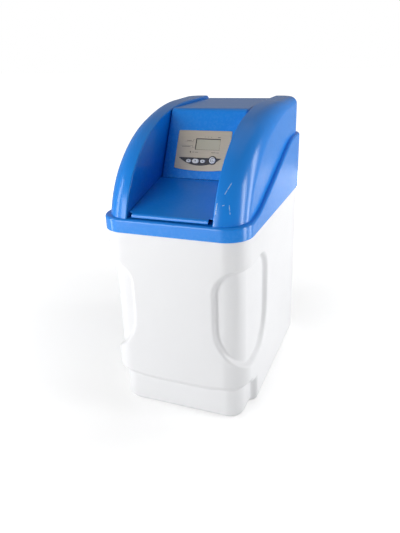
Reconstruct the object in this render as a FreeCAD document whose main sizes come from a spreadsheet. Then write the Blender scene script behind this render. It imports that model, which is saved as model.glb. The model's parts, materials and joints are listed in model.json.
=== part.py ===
import FreeCAD, Part
import math
import os
import Sketcher
from FreeCAD import Placement, Rotation, Vector

# Cabinet water softener: a brine cabinet with a resin vessel and its valve inside, a cover with two wings,
# a sloping control panel and a salt lid. X is to the right seen from the front, Y to the back, Z up.
# The origin is the middle of the cabinet's footprint on the floor. All sizes are in millimetres and degrees.

SIZES = {
    # Cover: skirt and ledge
    "cover_width": 320.0,
    "cover_depth": 510.0,
    "cover_corner": 53.0,
    "cover_wall": 2.5,
    "cover_fit": 0.5,
    "rest_gap": 0.3,
    "skirt_bottom": 422.0,
    "ledge_top": 451.0,
    # Cover: band that climbs from the ledge to the back
    "band_start": 204.5,
    "band_slope": 20.4,
    "band_front_radius": 271.0,
    "band_rear_radius": 239.0,
    "band_rear_top": 558.0,
    "wing_step": 9.0,
    # Cover: wings
    "channel_half": 91.5,
    "nose_setback": 8.0,
    "nose_rise": 7.0,
    "nose_slope": 72.4,
    "nose_radius": 220.5,
    "shoulder_slope": 44.0,
    "shoulder_radius": 306.7,
    "crown_slope": 13.2,
    "crown_radius": 643.0,
    "nose_land": 3.5,
    "middle_share": 0.875,
    "shoulder_share": 0.75,
    "crown_share": 0.43,
    "tail_share": 0.3,
    "wing_inner_round": 3.0,
    "wing_rear_round": 22.0,
    # Cover: filling mouth, bulkhead and pipe notch
    "mouth_half": 75.0,
    "mouth_front": 232.0,
    "mouth_rear": 100.0,
    "bulkhead_front": 79.0,
    "bulkhead_top": 484.0,
    "notch_half": 72.0,
    "notch_top": 548.0,
    "rail_width": 5.5,
    # Hood with the control panel
    "hood_gap": 1.5,
    "hood_foot_y": 82.6,
    "hood_foot_z": 498.4,
    "hood_toe": 2.9,
    "panel_slope": 61.7,
    "hood_top": 638.5,
    "hood_front_round": 14.0,
    "hood_rear_round": 20.0,
    "hood_side_round": 6.0,
    "hood_rear_foot": 600.0,
    "plate_width": 124.0,
    "plate_foot": 22.5,
    "plate_top": 108.5,
    "plate_bow_radius": 411.0,
    "plate_thickness": 2.0,
    "plate_seat": 1.2,
    "plate_gap": 0.4,
    "case_width": 116.0,
    "case_foot": 28.0,
    "case_top": 102.0,
    "case_depth": 28.0,
    "case_wall": 2.0,
    "board_depth": 11.4,
    "board_thickness": 1.6,
    "screen_left": -18.5,
    "screen_right": 38.5,
    "screen_foot": 66.5,
    "screen_top": 89.5,
    "led_x": -28.1,
    "led_v": 59.7,
    "led_radius": 1.5,
    "band_left": -54.0,
    "band_right": 46.0,
    "band_top": 47.0,
    "band_bow_radius": 80.2,
    "surround_thickness": 0.8,
    "ring_radius": 9.9,
    "button_gap": 0.3,
    "button_proud": 1.2,
    "button_travel": 1.2,
    "side_button_half": 5.5,
    "side_button_radius": 3.5,
    "set_button_half": 7.8,
    "set_button_radius": 4.9,
    "round_button_radius": 7.0,
    "down_x": -29.1,
    "set_x": -12.8,
    "up_x": 4.1,
    "button_v": 39.4,
    "round_x": 26.1,
    "round_v": 42.3,
    # Salt lid
    "lid_rear": 84.0,
    "lid_rear_top": 498.0,
    "lid_slope": 13.4,
    "lid_front": 240.0,
    "lid_nose": 5.2,
    "lid_lip_foot": 453.3,
    "lid_side_gap": 0.8,
    "lip_notch": 9.5,
    "hinge_setback": 8.0,
    "hinge_depth": 5.0,
    "pin_radius": 2.5,
    "pin_length": 15.0,
    "pin_clearance": 0.06,
    # Cabinet
    "cabinet_wall": 4.0,
    "cabinet_floor": 5.0,
    "foot_round": 6.0,
    "recess_depth": 11.0,
    "recess_left": 87.0,
    "recess_back": 75.0,
    "recess_foot": 126.0,
    "recess_top": 362.0,
    "recess_top_round": 58.0,
    "recess_foot_round": 69.0,
    "plinth_inset": 14.0,
    "plinth_height": 58.0,
    "plinth_slope_height": 26.0,
    "plinth_back": 157.0,
    "overflow_setback": 15.0,
    "overflow_z": 396.0,
    "overflow_radius": 9.0,
    # Resin vessel and what it holds
    "vessel_y": 130.0,
    "vessel_radius": 102.5,
    "vessel_wall": 3.0,
    "vessel_shoulder": 360.0,
    "neck_radius": 44.0,
    "neck_bore": 36.0,
    "neck_top": 440.0,
    "neck_height": 16.0,
    "boot_height": 40.0,
    "boot_wall": 2.5,
    "vessel_foot_half": 60.0,
    "vessel_foot_rise": 50.0,
    "vessel_knee_radius": 89.5,
    "vessel_knee_rise": 18.0,
    "dome_radius": 70.0,
    "dome_inner_radius": 79.0,
    "dome_inner_rise": 43.0,
    "resin_top": 300.0,
    "riser_radius": 13.5,
    "riser_wall": 1.5,
    # Valve
    "valve_flange_radius": 52.0,
    "valve_flange": 14.0,
    "column_radius": 26.0,
    "chamber_z": 536.0,
    "chamber_radius": 44.0,
    "chamber_front": 26.0,
    "chamber_back": 28.0,
    "disc_radius": 30.0,
    "disc_thickness": 7.0,
    "disc_gap": 0.1,
    "bonnet_thickness": 12.0,
    "spindle_radius": 8.0,
    "port_x": 38.0,
    "port_z": 505.0,
    "port_radius": 16.0,
    "port_bore": 9.5,
    "port_reach": 58.0,
    "drain_z": 470.0,
    "hose_radius": 6.4,
    "hose_bore": 4.5,
    # Gears
    "gear_module": 1.5,
    "gear_teeth": 54,
    "pinion_teeth": 15,
    "gear_width": 7.0,
    "gear_back": 46.0,
    "gear_backlash": 0.25,
    "pinion_bearing": 40.0,
    "motor_radius": 19.0,
    "motor_length": 26.0,
    # Bypass valve and its tails
    "bypass_end": 68.0,
    "plug_setback": 37.0,
    "plug_radius": 14.0,
    "plug_clearance": 0.06,
    "thread_radius": 13.2,
    "tail_length": 25.0,
    "nut_radius": 20.5,
    "washer": 2.0,
    "lever_length": 46.0,
    # Brine system
    "well_gap": 11.0,
    "well_y": 22.0,
    "well_radius": 34.0,
    "well_wall": 2.0,
    "well_top": 412.0,
    "float_radius": 13.0,
    "float_foot": 150.0,
    "float_height": 46.0,
    "tube_radius": 4.75,
    "safety_z": 300.0,
}

doc = FreeCAD.newDocument("WaterSoftener")
sheet = doc.addObject("Spreadsheet::Sheet", "Sizes")


class Size:
    """A length or angle: its value now, and the sheet expression that gives it."""

    def __init__(self, value, text):
        self.value = float(value)
        self.text = text

    def joined(self, other, sign, value):
        return Size(value, "(" + self.text + " " + sign + " " + other.text + ")")

    def __add__(self, other):
        other = as_size(other)
        return self.joined(other, "+", self.value + other.value)

    def __sub__(self, other):
        other = as_size(other)
        return self.joined(other, "-", self.value - other.value)

    def __mul__(self, other):
        other = as_size(other)
        return self.joined(other, "*", self.value * other.value)

    def __truediv__(self, other):
        other = as_size(other)
        return self.joined(other, "/", self.value / other.value)

    def __radd__(self, other):
        return as_size(other) + self

    def __rsub__(self, other):
        return as_size(other) - self

    def __rmul__(self, other):
        return as_size(other) * self

    def __rtruediv__(self, other):
        return as_size(other) / self

    def __neg__(self):
        return as_size(0) - self


def as_size(value):
    return value if isinstance(value, Size) else Size(value, "(" + repr(float(value)) + ")")


def sine(angle):
    return Size(math.sin(math.radians(angle.value)), "sin(" + angle.text + " * 1 deg)")


def cosine(angle):
    return Size(math.cos(math.radians(angle.value)), "cos(" + angle.text + " * 1 deg)")


class Sizes:
    """The sheet's cells, one attribute for each."""


S = Sizes()
for row, (alias, number) in enumerate(SIZES.items(), start=1):
    sheet.set("A" + str(row), alias)
    sheet.set("B" + str(row), str(number))
    sheet.setAlias("B" + str(row), alias)
    setattr(S, alias, Size(number, "Sizes." + alias))
doc.recompute()


# Helpers: binding, sketches and features

NODES = []


def node(feature, label):
    """Names a finished piece; its file gets this name."""
    feature.Label = label
    NODES.append(feature)
    return feature


def bind(feature, path, size):
    feature.setExpression(path, as_size(size).text)


def bind_place(feature, place):
    for letter, size in zip("xyz", place):
        bind(feature, "Placement.Base." + letter, size)


def new_body(name):
    return doc.addObject("PartDesign::Body", name)


def origin_plane(body, role):
    return next(item for item in body.Origin.OriginFeatures if item.Role == role)


def new_sketch(body, name, role, height=0):
    """A sketch parallel to an origin plane, at a height along the plane's positive axis."""
    sketch = body.newObject("Sketcher::SketchObject", name)
    sketch.AttachmentSupport = [(origin_plane(body, role), "")]
    sketch.MapMode = "FlatFace"
    bind(sketch, "AttachmentOffset.Base.z", -height if role == "XZ_Plane" else height)
    return sketch


def pin_point(sketch, geometry, point, place):
    for kind, size in (("DistanceX", place[0]), ("DistanceY", place[1])):
        size = as_size(size)
        number = sketch.addConstraint(Sketcher.Constraint(kind, -1, 1, geometry, point, size.value))
        sketch.setExpression("Constraints[" + str(number) + "]", size.text)


def set_radius(sketch, geometry, size):
    size = as_size(size)
    number = sketch.addConstraint(Sketcher.Constraint("Radius", geometry, size.value))
    sketch.setExpression("Constraints[" + str(number) + "]", size.text)


def flat(point):
    return Vector(as_size(point[0]).value, as_size(point[1]).value, 0)


def arc_between(first, last, radius):
    """The arc under half a circle from first to last, counter-clockwise where radius is positive."""
    chord = last - first
    reach = math.sqrt(max(radius * radius - chord.Length ** 2 / 4, 0))
    across = Vector(-chord.y, chord.x, 0).normalize() * reach
    centre = (first + last) * 0.5 + (across if radius > 0 else -across)
    start, end = (first, last) if radius > 0 else (last, first)
    circle = Part.Circle(centre, Vector(0, 0, 1), abs(radius))
    angles = [math.atan2(point.y - centre.y, point.x - centre.x) for point in (start, end)]
    return Part.ArcOfCircle(circle, angles[0], angles[1])


def draw(sketch, points, closed=True):
    """Lines and arcs through corners: (x, y) ends a line, (x, y, radius, turn) an arc, turn 1 or -1."""
    ends = []
    pairs = list(zip(points, points[1:])) + ([(points[-1], points[0])] if closed else [])
    for before, after in pairs:
        if len(after) > 2:
            radius = as_size(after[2])
            edge = arc_between(flat(before), flat(after), radius.value * after[3])
            number = sketch.addGeometry(edge, False)
            set_radius(sketch, number, radius)
            ends.append((number, 1, 2) if after[3] > 0 else (number, 2, 1))
        else:
            number = sketch.addGeometry(Part.LineSegment(flat(before), flat(after)), False)
            ends.append((number, 1, 2))
    joints = list(zip(ends, ends[1:])) + ([(ends[-1], ends[0])] if closed else [])
    for one, other in joints:
        sketch.addConstraint(Sketcher.Constraint("Coincident", one[0], one[2], other[0], other[1]))
    if not closed:
        pin_point(sketch, ends[0][0], ends[0][1], points[0])
    for (number, _, last), (_, after) in zip(ends, pairs):
        pin_point(sketch, number, last, after)


def draw_circle(sketch, place, radius):
    circle = Part.Circle(flat(place), Vector(0, 0, 1), as_size(radius).value)
    number = sketch.addGeometry(circle, False)
    set_radius(sketch, number, radius)
    pin_point(sketch, number, 3, place)


def draw_all(sketch, outlines):
    """Outlines are lists of corners, or (place, radius) for a circle."""
    for shape in outlines:
        if isinstance(shape, tuple):
            draw_circle(sketch, shape[0], shape[1])
        else:
            draw(sketch, shape)


def extrude(body, name, kind, role, outlines, start, length, both=False):
    """A Pad or Pocket of outlines from start, along the plane's positive axis."""
    sketch = new_sketch(body, name + "_sketch", role, start)
    draw_all(sketch, outlines)
    feature = body.newObject("PartDesign::" + kind, name)
    feature.Profile = sketch
    bind(feature, "Length", length)
    if both:
        feature.SideType = "Symmetric"
    feature.Reversed = (role == "XZ_Plane") != (kind == "Pocket")
    body.Tip = feature
    return feature


def prism(name, role, outlines, start, length, both=False):
    body = new_body(name)
    extrude(body, name + "_pad", "Pad", role, outlines, start, length, both)
    return body


def turned(name, points, place, axis="Z"):
    """A full revolution of an outline given as (radius, height) along the axis, or (along, radius)."""
    body = new_body(name)
    sketch = new_sketch(body, name + "_sketch", {"Z": "XZ_Plane", "Y": "YZ_Plane", "X": "XZ_Plane"}[axis])
    draw(sketch, points)
    feature = body.newObject("PartDesign::Revolution", name + "_turn")
    feature.Profile = sketch
    feature.ReferenceAxis = (sketch, ["V_Axis" if axis == "Z" else "H_Axis"])
    feature.Angle = 360
    body.Tip = feature
    bind_place(body, place)
    return body


def rod(name, place, axis, radius, length):
    turn = {"X": Rotation(Vector(0, 1, 0), 90), "Y": Rotation(Vector(1, 0, 0), -90), "Z": Rotation()}[axis]
    feature = doc.addObject("Part::Cylinder", name)
    bind(feature, "Radius", radius)
    bind(feature, "Height", length)
    feature.Placement = Placement(Vector(), turn)
    bind_place(feature, place)
    return feature


def block(name, x, y, z):
    feature = doc.addObject("Part::Box", name)
    for side, (low, high) in zip(("Length", "Width", "Height"), (x, y, z)):
        bind(feature, side, high - as_size(low))
    bind_place(feature, (x[0], y[0], z[0]))
    return feature


def fuse(name, parts):
    feature = doc.addObject("Part::MultiFuse", name)
    feature.Shapes = parts
    feature.Refine = True
    return feature


def common(name, base, tool):
    feature = doc.addObject("Part::Common", name)
    feature.Base = base
    feature.Tool = tool
    return feature


def cut(name, base, tools):
    feature = doc.addObject("Part::Cut", name)
    feature.Base = base
    feature.Tool = tools[0] if len(tools) == 1 else fuse(name + "_tools", tools)
    feature.Refine = True
    return feature


def mirrored(name, source):
    feature = doc.addObject("Part::Mirroring", name)
    feature.Source = source
    feature.Base = Vector()
    feature.Normal = Vector(1, 0, 0)
    return feature


def rounded(name, base, radius, picks):
    """A fillet of the edges that picks accepts."""
    doc.recompute()
    feature = doc.addObject("Part::Fillet", name)
    feature.Base = base
    numbers = [i for i, edge in enumerate(base.Shape.Edges, start=1) if picks(edge)]
    feature.Edges = [(number, radius.value, radius.value) for number in numbers]
    return feature


def rounded_rectangle(half_x, front, back, front_radius, back_radius):
    """A plan about the Y axis from front (measured forwards) to back, its corners rounded."""
    return [
        (half_x - front_radius, -front),
        (half_x, front_radius - front, front_radius, 1),
        (half_x, back - back_radius),
        (half_x - back_radius, back, back_radius, 1),
        (back_radius - half_x, back),
        (-half_x, back - back_radius, back_radius, 1),
        (-half_x, front_radius - front),
        (front_radius - half_x, -front, front_radius, 1),
    ]


def rectangle(x, y):
    return [(x[0], y[0]), (x[1], y[0]), (x[1], y[1]), (x[0], y[1])]


def stadium(x, y, half, radius):
    """A long round key or its hole, with its ends on the line y."""
    reach = half - radius
    return [
        (x + reach, y + radius, radius, 1),
        (x - reach, y + radius),
        (x - half, y, radius, 1),
        (x - reach, y - radius, radius, 1),
        (x + reach, y - radius),
        (x + half, y, radius, 1),
    ]


def hexagon(x, z, radius):
    turns = [math.radians(60 * step) for step in range(6)]
    return [(x + radius * math.cos(turn), z + radius * math.sin(turn)) for turn in turns]


# Main values worked out from the sizes

cover_half = S.cover_width / 2
cover_reach = S.cover_depth / 2
wall = S.cover_wall
cabinet_half = cover_half - wall - S.cover_fit
cabinet_reach = cover_reach - wall - S.cover_fit
cabinet_corner = S.cover_corner - wall - S.cover_fit
ledge_under = S.ledge_top - wall
cabinet_height = ledge_under - S.rest_gap
wing_out = cover_half - S.wing_step
channel_back = cover_reach - S.wing_step - wall
gap = S.rest_gap


# Cabinet: a hollow tank with a drawn-in plinth in front and a recess round each front corner

def cabinet_plan(inset):
    corner = cabinet_corner - inset
    return rounded_rectangle(cabinet_half - inset, cabinet_reach - inset, cabinet_reach - inset, corner, corner)


def recess_zone(name, grow):
    """What one corner recess takes away, down to any depth."""
    low, high = S.recess_foot - grow, S.recess_top + grow
    top_round, foot_round = S.recess_top_round + grow, S.recess_foot_round + grow
    left, back = S.recess_left - grow, grow - S.recess_back
    corner = cabinet_corner - cabinet_reach
    outside = cabinet_half + 2
    front_outline = [
        (left + foot_round, low, foot_round, 1), (outside, low), (outside, high), (left + top_round, high),
        (left, high - top_round, top_round, 1), (left, low + foot_round),
    ]
    side_outline = [
        (corner, low), (back - foot_round, low), (back, low + foot_round, foot_round, 1),
        (back, high - top_round), (back - top_round, high, top_round, 1), (corner, high),
    ]
    front = prism(name + "_front", "XZ_Plane", [front_outline], -cabinet_reach - 2, cabinet_corner + 2)
    side = prism(name + "_side", "YZ_Plane", [side_outline], cabinet_half - cabinet_corner, cabinet_corner + 2)
    return fuse(name, [front, side])


def recess_pair(name, grow, depth):
    core = prism(name + "_core", "XY_Plane", [cabinet_plan(depth)], -1, cabinet_height + 2)
    right = cut(name + "_right", recess_zone(name + "_zone", grow), [core])
    return [right, mirrored(name + "_left", right)]


def plinth_zone(name, inset, top_inset, back, lift):
    """What the plinth takes away in front: upright below, then sloping out to the full width."""
    low = S.plinth_height + lift
    high = low + S.plinth_slope_height
    core = new_body(name + "_core")
    extrude(core, name + "_upright", "Pad", "XY_Plane", [cabinet_plan(inset)], -2, low + 2)
    first = new_sketch(core, name + "_low", "XY_Plane", low)
    draw_all(first, [cabinet_plan(inset)])
    last = new_sketch(core, name + "_high", "XY_Plane", high)
    draw_all(last, [cabinet_plan(top_inset)])
    loft = core.newObject("PartDesign::AdditiveLoft", name + "_slope")
    loft.Profile = first
    loft.Sections = [last]
    loft.Ruled = True
    core.Tip = loft
    space = block(name + "_space", (-cabinet_half - 1, cabinet_half + 1), (-cabinet_reach - 1, -back), (-1, high))
    return cut(name, space, [core])


overflow_x = cabinet_corner + S.overflow_setback - cabinet_half
overflow_place = (overflow_x, cabinet_reach - S.cabinet_wall - 1, S.overflow_z)
tank_block = prism("tank_block", "XY_Plane", [cabinet_plan(0)], 0, cabinet_height)
tank_outside = cut("tank_outside", tank_block, recess_pair("recess", 0, S.recess_depth)
                   + [plinth_zone("plinth", S.plinth_inset, 0, S.plinth_back, 0)])
tank_round = rounded("tank_round", tank_outside, S.foot_round, lambda edge: edge.BoundBox.ZMax < 0.01)
tank_plan = prism("tank_plan", "XY_Plane", [cabinet_plan(S.cabinet_wall)], S.cabinet_floor, cabinet_height)
tank_inside = cut("tank_inside", tank_plan, recess_pair("keep", S.cabinet_wall, S.recess_depth + S.cabinet_wall)
                  + [plinth_zone("plinth_keep", S.plinth_inset + S.cabinet_wall, S.cabinet_wall,
                                 S.plinth_back - S.cabinet_wall, S.cabinet_wall / 2)])
overflow_hole = rod("overflow_hole", overflow_place, "Y", S.overflow_radius + 0.2, S.cabinet_wall + 2)
node(cut("tank_shell", tank_round, [tank_inside, overflow_hole]), "cabinet")


# Cover: the skirt and the band that climbs to the back

def band_outline(drop, foot, grow):
    """Side view of the skirt, its top line lowered by drop."""
    rise, run = sine(S.band_slope), cosine(S.band_slope)
    front_radius, rear_radius = S.band_front_radius + drop, S.band_rear_radius - drop
    first = S.band_front_radius * rise - S.band_start
    climb = S.band_rear_top - S.ledge_top - (S.band_front_radius + S.band_rear_radius) * (1 - run)
    end_y = first + climb * run / rise + S.band_rear_radius * rise
    ledge, rear = S.ledge_top - drop, S.band_rear_top - drop
    return [
        (-cover_reach - grow, foot),
        (cover_reach + grow, foot),
        (cover_reach + grow, rear),
        (end_y, rear),
        (end_y - rear_radius * rise, rear - rear_radius * (1 - run), rear_radius, 1),
        (front_radius * rise - S.band_start, ledge + front_radius * (1 - run)),
        (-S.band_start, ledge, front_radius, -1),
        (-cover_reach - grow, ledge),
    ]


def skirt_solid(name, inset, foot):
    corner = S.cover_corner - inset
    plan = rounded_rectangle(cover_half - inset, cover_reach - inset, cover_reach - inset, corner, corner)
    side = prism(name + "_side", "YZ_Plane", [band_outline(inset, foot, 1)], 0, S.cover_width + 2, both=True)
    upright = prism(name + "_plan", "XY_Plane", [plan], foot, S.band_rear_top - foot + 1)
    return common(name, side, upright)


roof_corner = S.cover_corner - S.wing_step - wall
roof_plan = rounded_rectangle(wing_out - wall - 2, S.band_start - 4, channel_back - gap - wall - 2,
                              as_size(2), roof_corner - 2)
roof_hole = prism("roof_hole", "XY_Plane", [roof_plan], S.skirt_bottom, S.band_rear_top - S.skirt_bottom + 1)
skirt = cut("skirt", skirt_solid("skirt_outside", 0, S.skirt_bottom),
            [skirt_solid("skirt_inside", wall, S.skirt_bottom - 1), roof_hole])


# Cover: wings, whose outer top edge has a rounding that narrows to the back

def arc_step(place, radius, first, last):
    """The far end of an arc that turns from one slope down to another."""
    return (place[0] + radius * (sine(first) - sine(last)), place[1] + radius * (cosine(last) - cosine(first)))


level = Size(0, "0")
nose = (S.nose_setback - cover_reach, S.ledge_top + S.nose_rise)
shoulder = arc_step(nose, S.nose_radius, S.nose_slope, S.shoulder_slope)
crown = arc_step(shoulder, S.shoulder_radius, S.shoulder_slope, S.crown_slope)
wing_peak = arc_step(crown, S.crown_radius, S.crown_slope, level)
wing_top = wing_peak[1]
wing_tail = (cover_reach + 5, wing_top)


def lowered(place, slope, inset):
    """A point of the wing's top line, moved inward square to the slope there."""
    return (place[0] + inset * sine(slope), place[1] - inset * cosine(slope))


def wing_outline(inset, foot):
    first = lowered(nose, S.nose_slope, inset)
    start = (first[0] - (first[1] - foot) * cosine(S.nose_slope) / sine(S.nose_slope), foot)
    return [
        start, (wing_tail[0], foot), lowered(wing_tail, level, inset), lowered(wing_peak, level, inset),
        (*lowered(crown, S.crown_slope, inset), S.crown_radius - inset, 1),
        (*lowered(shoulder, S.shoulder_slope, inset), S.shoulder_radius - inset, 1),
        (*lowered(nose, S.nose_slope, inset), S.nose_radius - inset, 1),
    ]


def wing_solid(name, inset, foot):
    """One wing: its outline extruded, the outer edge rounded from the wide nose to the narrow tail."""
    outline = wing_outline(inset, foot)
    slab = prism(name + "_slab", "YZ_Plane", [outline], S.channel_half + inset,
                 wing_out - S.channel_half - 2 * inset)
    doc.recompute()
    widest = wing_out - S.channel_half - S.nose_land
    shares = [S.tail_share, S.crown_share, S.shoulder_share, S.middle_share, 1, 1]
    rounds = [widest * share for share in shares]
    ends = [flat(place) for place in outline[2:] + outline[:1]]
    fillets = []
    for number, edge in enumerate(slab.Shape.Edges, start=1):
        points = [edge.valueAt(edge.FirstParameter), edge.valueAt(edge.LastParameter)]
        places = [next((i for i, end in enumerate(ends) if abs(end.x - point.y) + abs(end.y - point.z) < 0.01), -1)
                  for point in points]
        if min(places) < 0 or abs(points[0].x - points[1].x) > 0.01:
            continue
        if points[0].x > wing_out.value - inset.value - 0.01:
            first, last = (rounds[i].value - inset.value for i in places)
            fillets.append((number, first, last))
        elif inset.value == 0:
            fillets.append((number, S.wing_inner_round.value, S.wing_inner_round.value))
    round_slab = doc.addObject("Part::Fillet", name + "_round")
    round_slab.Base = slab
    round_slab.Edges = fillets
    back = cover_reach - S.wing_step - inset
    rear_corner = S.cover_corner - S.wing_step - inset
    plan = rounded_rectangle(wing_out, cover_reach, back, S.cover_corner - S.wing_step, rear_corner)
    plan = [(place[0] - (inset if place[0].value > 0 else -inset), *place[1:]) for place in plan]
    upright = prism(name + "_plan", "XY_Plane", [plan], foot, wing_top - foot + 10)
    round_back = S.wing_rear_round - inset
    high = wing_top - inset + 0.6
    side = prism(name + "_limit", "YZ_Plane", [[
        (-cover_reach - 5, foot), (back, foot), (back, high - round_back),
        (back - round_back, high, round_back, 1), (-cover_reach - 5, high),
    ]], 0, S.cover_width, both=True)
    limit = common(name + "_bounds", upright, side)
    return common(name, round_slab, limit)


wing_right = cut("wing_right", wing_solid("wing_outside", level, ledge_under),
                 [wing_solid("wing_inside", wall, ledge_under - 2)])
wing_left = mirrored("wing_left", wing_right)


# Cover: channel between the wings, with the filling mouth, lid rails, hood rests and the back wall

def lid_height(y, drop=0):
    """Height of the lid's sloping top at a distance y behind the middle, lowered square to the slope."""
    rise, run = sine(S.lid_slope), cosine(S.lid_slope)
    return S.lid_rear_top + (y + S.lid_rear) * rise / run - drop / run


def hood_edge(y):
    """Height of the hood's lower side edge."""
    climb, toe = S.hood_rear_foot - S.hood_foot_z, S.hood_foot_y - S.hood_toe
    return S.hood_foot_z + climb * (y + toe) / (cover_reach - S.wing_step + toe)


channel_out = S.channel_half + wall
rail_start = S.channel_half - S.rail_width
hinge = (-S.lid_rear - S.hinge_setback, S.lid_rear_top - 2 - S.hinge_depth)
lid_rail = [
    (-S.mouth_front - 3, ledge_under), (-S.mouth_rear - 5, ledge_under),
    (-S.mouth_rear - 5, lid_height(-S.mouth_rear - 5, wall + gap)),
    (-S.mouth_front - 3, lid_height(-S.mouth_front - 3, wall + gap)),
]
hood_rest = [
    (-70, hood_edge(-70) - gap - 5), (230, hood_edge(230) - gap - 5),
    (230, hood_edge(230) - gap), (-70, hood_edge(-70) - gap),
]
rails = prism("rails_right", "YZ_Plane", [lid_rail], rail_start, S.rail_width + 1)
rests = prism("rests_right", "YZ_Plane", [hood_rest], rail_start, S.rail_width + 1)
across = (-channel_out, channel_out)
back_wall_y = (channel_back - gap - wall, channel_back - gap)
cover_parts = [skirt, wing_right, wing_left, rails, mirrored("rails_left", rails), rests,
               mirrored("rests_left", rests)]
cover_parts += [
    block("channel_floor", across, (-S.band_start - 2, wall - S.bulkhead_front), (ledge_under, S.ledge_top)),
    block("bulkhead", across, (-S.bulkhead_front, wall - S.bulkhead_front), (ledge_under, S.bulkhead_top)),
    block("back_wall", across, back_wall_y, (ledge_under, S.hood_rear_foot - 3)),
    block("screw_wall", (S.hood_side_round + 2 - S.channel_half, S.channel_half - S.hood_side_round - 2), back_wall_y,
          (S.hood_rear_foot - 4, S.hood_top - S.hood_rear_round - 2)),
]
for y in (-90, 20, 130):
    rib = block("rib_right_" + str(y + 90), (wing_out - wall, cover_half - 2), (y, y + 3), (ledge_under, 462))
    cover_parts += [rib, mirrored("rib_left_" + str(y + 90), rib)]
screw_x, screw_z = 60, 612
hood_screw_holes = [rod("hood_hole_" + str(i), (x, channel_back - 6, screw_z), "Y", 1.9, 9)
                    for i, x in enumerate((-screw_x, screw_x))]
mouth = block("mouth", (-S.mouth_half, S.mouth_half), (-S.mouth_front, -S.mouth_rear),
              (ledge_under - 1, S.ledge_top + 1))
notch = block("notch", (-S.notch_half, S.notch_half), (channel_back - 4, cover_reach + 1),
              (S.skirt_bottom - 1, S.notch_top))
pin_bore = rod("pin_bore", (-channel_out - 2, *hinge), "X", S.pin_radius + S.pin_clearance, 2 * channel_out + 4)
node(cut("cover_shell", fuse("cover_whole", cover_parts), [mouth, notch, pin_bore] + hood_screw_holes), "cover")


# Hood over the valve, with a seat and an opening for the control panel

def hood_outline(inset, foot, rear_foot):
    """Side view of the hood; its slope and its back run on to the two feet."""
    slope, high = S.panel_slope, S.hood_top - inset
    ratio = cosine(slope) / sine(slope)
    bend = (1 - cosine(slope)) / sine(slope)
    front_round, rear_round = S.hood_front_round - inset, S.hood_rear_round - inset
    shift = inset / sine(slope) - S.hood_foot_y
    knee_y = shift + (high - S.hood_foot_z) * ratio
    reach = front_round * bend
    back = cover_reach - S.wing_step - inset
    return [
        (shift + (foot - S.hood_foot_z) * ratio + S.hood_toe, foot),
        (back, rear_foot),
        (back, high - rear_round),
        (back - rear_round, high, rear_round, 1),
        (knee_y + reach, high),
        (knee_y - reach * cosine(slope), high - reach * sine(slope), front_round, 1),
        (shift + (foot - S.hood_foot_z) * ratio, foot),
    ]


def on_panel(body):
    """Puts a body in the panel's frame: x to the right, y up the slope, z outward from the hood's face."""
    body.Placement = Placement(Vector(), Rotation(Vector(1, 0, 0), 1))
    bind(body, "Placement.Rotation.Angle", S.panel_slope)
    bind_place(body, (0, -S.hood_foot_y, S.hood_foot_z))
    return body


def panel_prism(name, outlines, low, high):
    return on_panel(prism(name, "XY_Plane", outlines, low, as_size(high) - low))


def plate_outline(grow):
    half, foot, top = S.plate_width / 2 + grow, S.plate_foot - grow, S.plate_top + grow
    corner = 3 + as_size(grow)
    return [
        (corner - half, foot, corner, 1), (half - corner, foot, S.plate_bow_radius, 1),
        (half, foot + corner, corner, 1), (half, top - corner), (half - corner, top, corner, 1),
        (corner - half, top), (-half, top - corner, corner, 1), (-half, foot + corner),
    ]


hood_half = S.channel_half - S.hood_gap
hood_block = prism("hood_block", "YZ_Plane", [hood_outline(as_size(0), S.hood_foot_z, S.hood_rear_foot)],
                   0, hood_half * 2, both=True)
hood_core = prism("hood_core", "YZ_Plane", [hood_outline(wall, S.hood_foot_z - 10, S.hood_rear_foot - 40)],
                  0, (hood_half - wall) * 2, both=True)


def is_hood_edge(edge):
    return edge.BoundBox.XLength < 0.01 and edge.BoundBox.ZMax > SIZES["hood_rear_foot"] + 1


hood_outside = rounded("hood_outside", hood_block, S.hood_side_round, is_hood_edge)
hood_inside = rounded("hood_inside", hood_core, S.hood_side_round - wall, is_hood_edge)
hood_shell = cut("hood_shell", hood_outside, [hood_inside])
boss_x, boss_v = 66, 66
bosses = panel_prism("case_bosses", [((-boss_x, boss_v), 4), ((boss_x, boss_v), 4)], -8, 0.2 - wall)
boss_holes = panel_prism("boss_holes", [((-boss_x, boss_v), 1.5), ((boss_x, boss_v), 1.5)], -9, -2.9)
plate_seat = panel_prism("plate_seat", [plate_outline(S.plate_gap)], -S.plate_seat, 3)
panel_hole = panel_prism("panel_hole", [rectangle((-60, 60), (26, 104))], -4, 3)
node(cut("hood_body", fuse("hood_whole", [hood_shell, bosses]),
         [boss_holes, plate_seat, panel_hole] + hood_screw_holes), "hood")


def screws(name, places, axis, under_head, length, shank, head, head_height, outward):
    """Plain screws: (first, second) places across the axis, the head on the outward side."""
    parts = []
    for i, (first, second) in enumerate(places):
        for part, radius, size, side in (("head", head, head_height, outward), ("shank", shank, length, -outward)):
            start = under_head if side > 0 else as_size(under_head) - size
            place = {"Y": (first, start, second), "Z": (first, second, start)}[axis]
            parts.append(rod(name + "_" + part + str(i), place, axis, radius, size))
    return fuse(name, parts)


node(screws("hood_screw_set", [(-screw_x, screw_z), (screw_x, screw_z)], "Y", cover_reach - S.wing_step,
            7, 1.7, 3.5, 2, 1), "hood_screws")


# Control panel: plate, display, light, keys and the case behind them

keys = {
    "down": (S.down_x, S.button_v, S.side_button_half, S.side_button_radius),
    "set": (S.set_x, S.button_v, S.set_button_half, S.set_button_radius),
    "up": (S.up_x, S.button_v, S.side_button_half, S.side_button_radius),
}


def key_outline(key, grow):
    x, v, half, radius = keys[key]
    return stadium(x, v, half + grow, radius + grow)


def key_outlines(grow):
    return [key_outline(key, grow) for key in keys] + [((S.round_x, S.round_v), S.round_button_radius + grow)]


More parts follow.
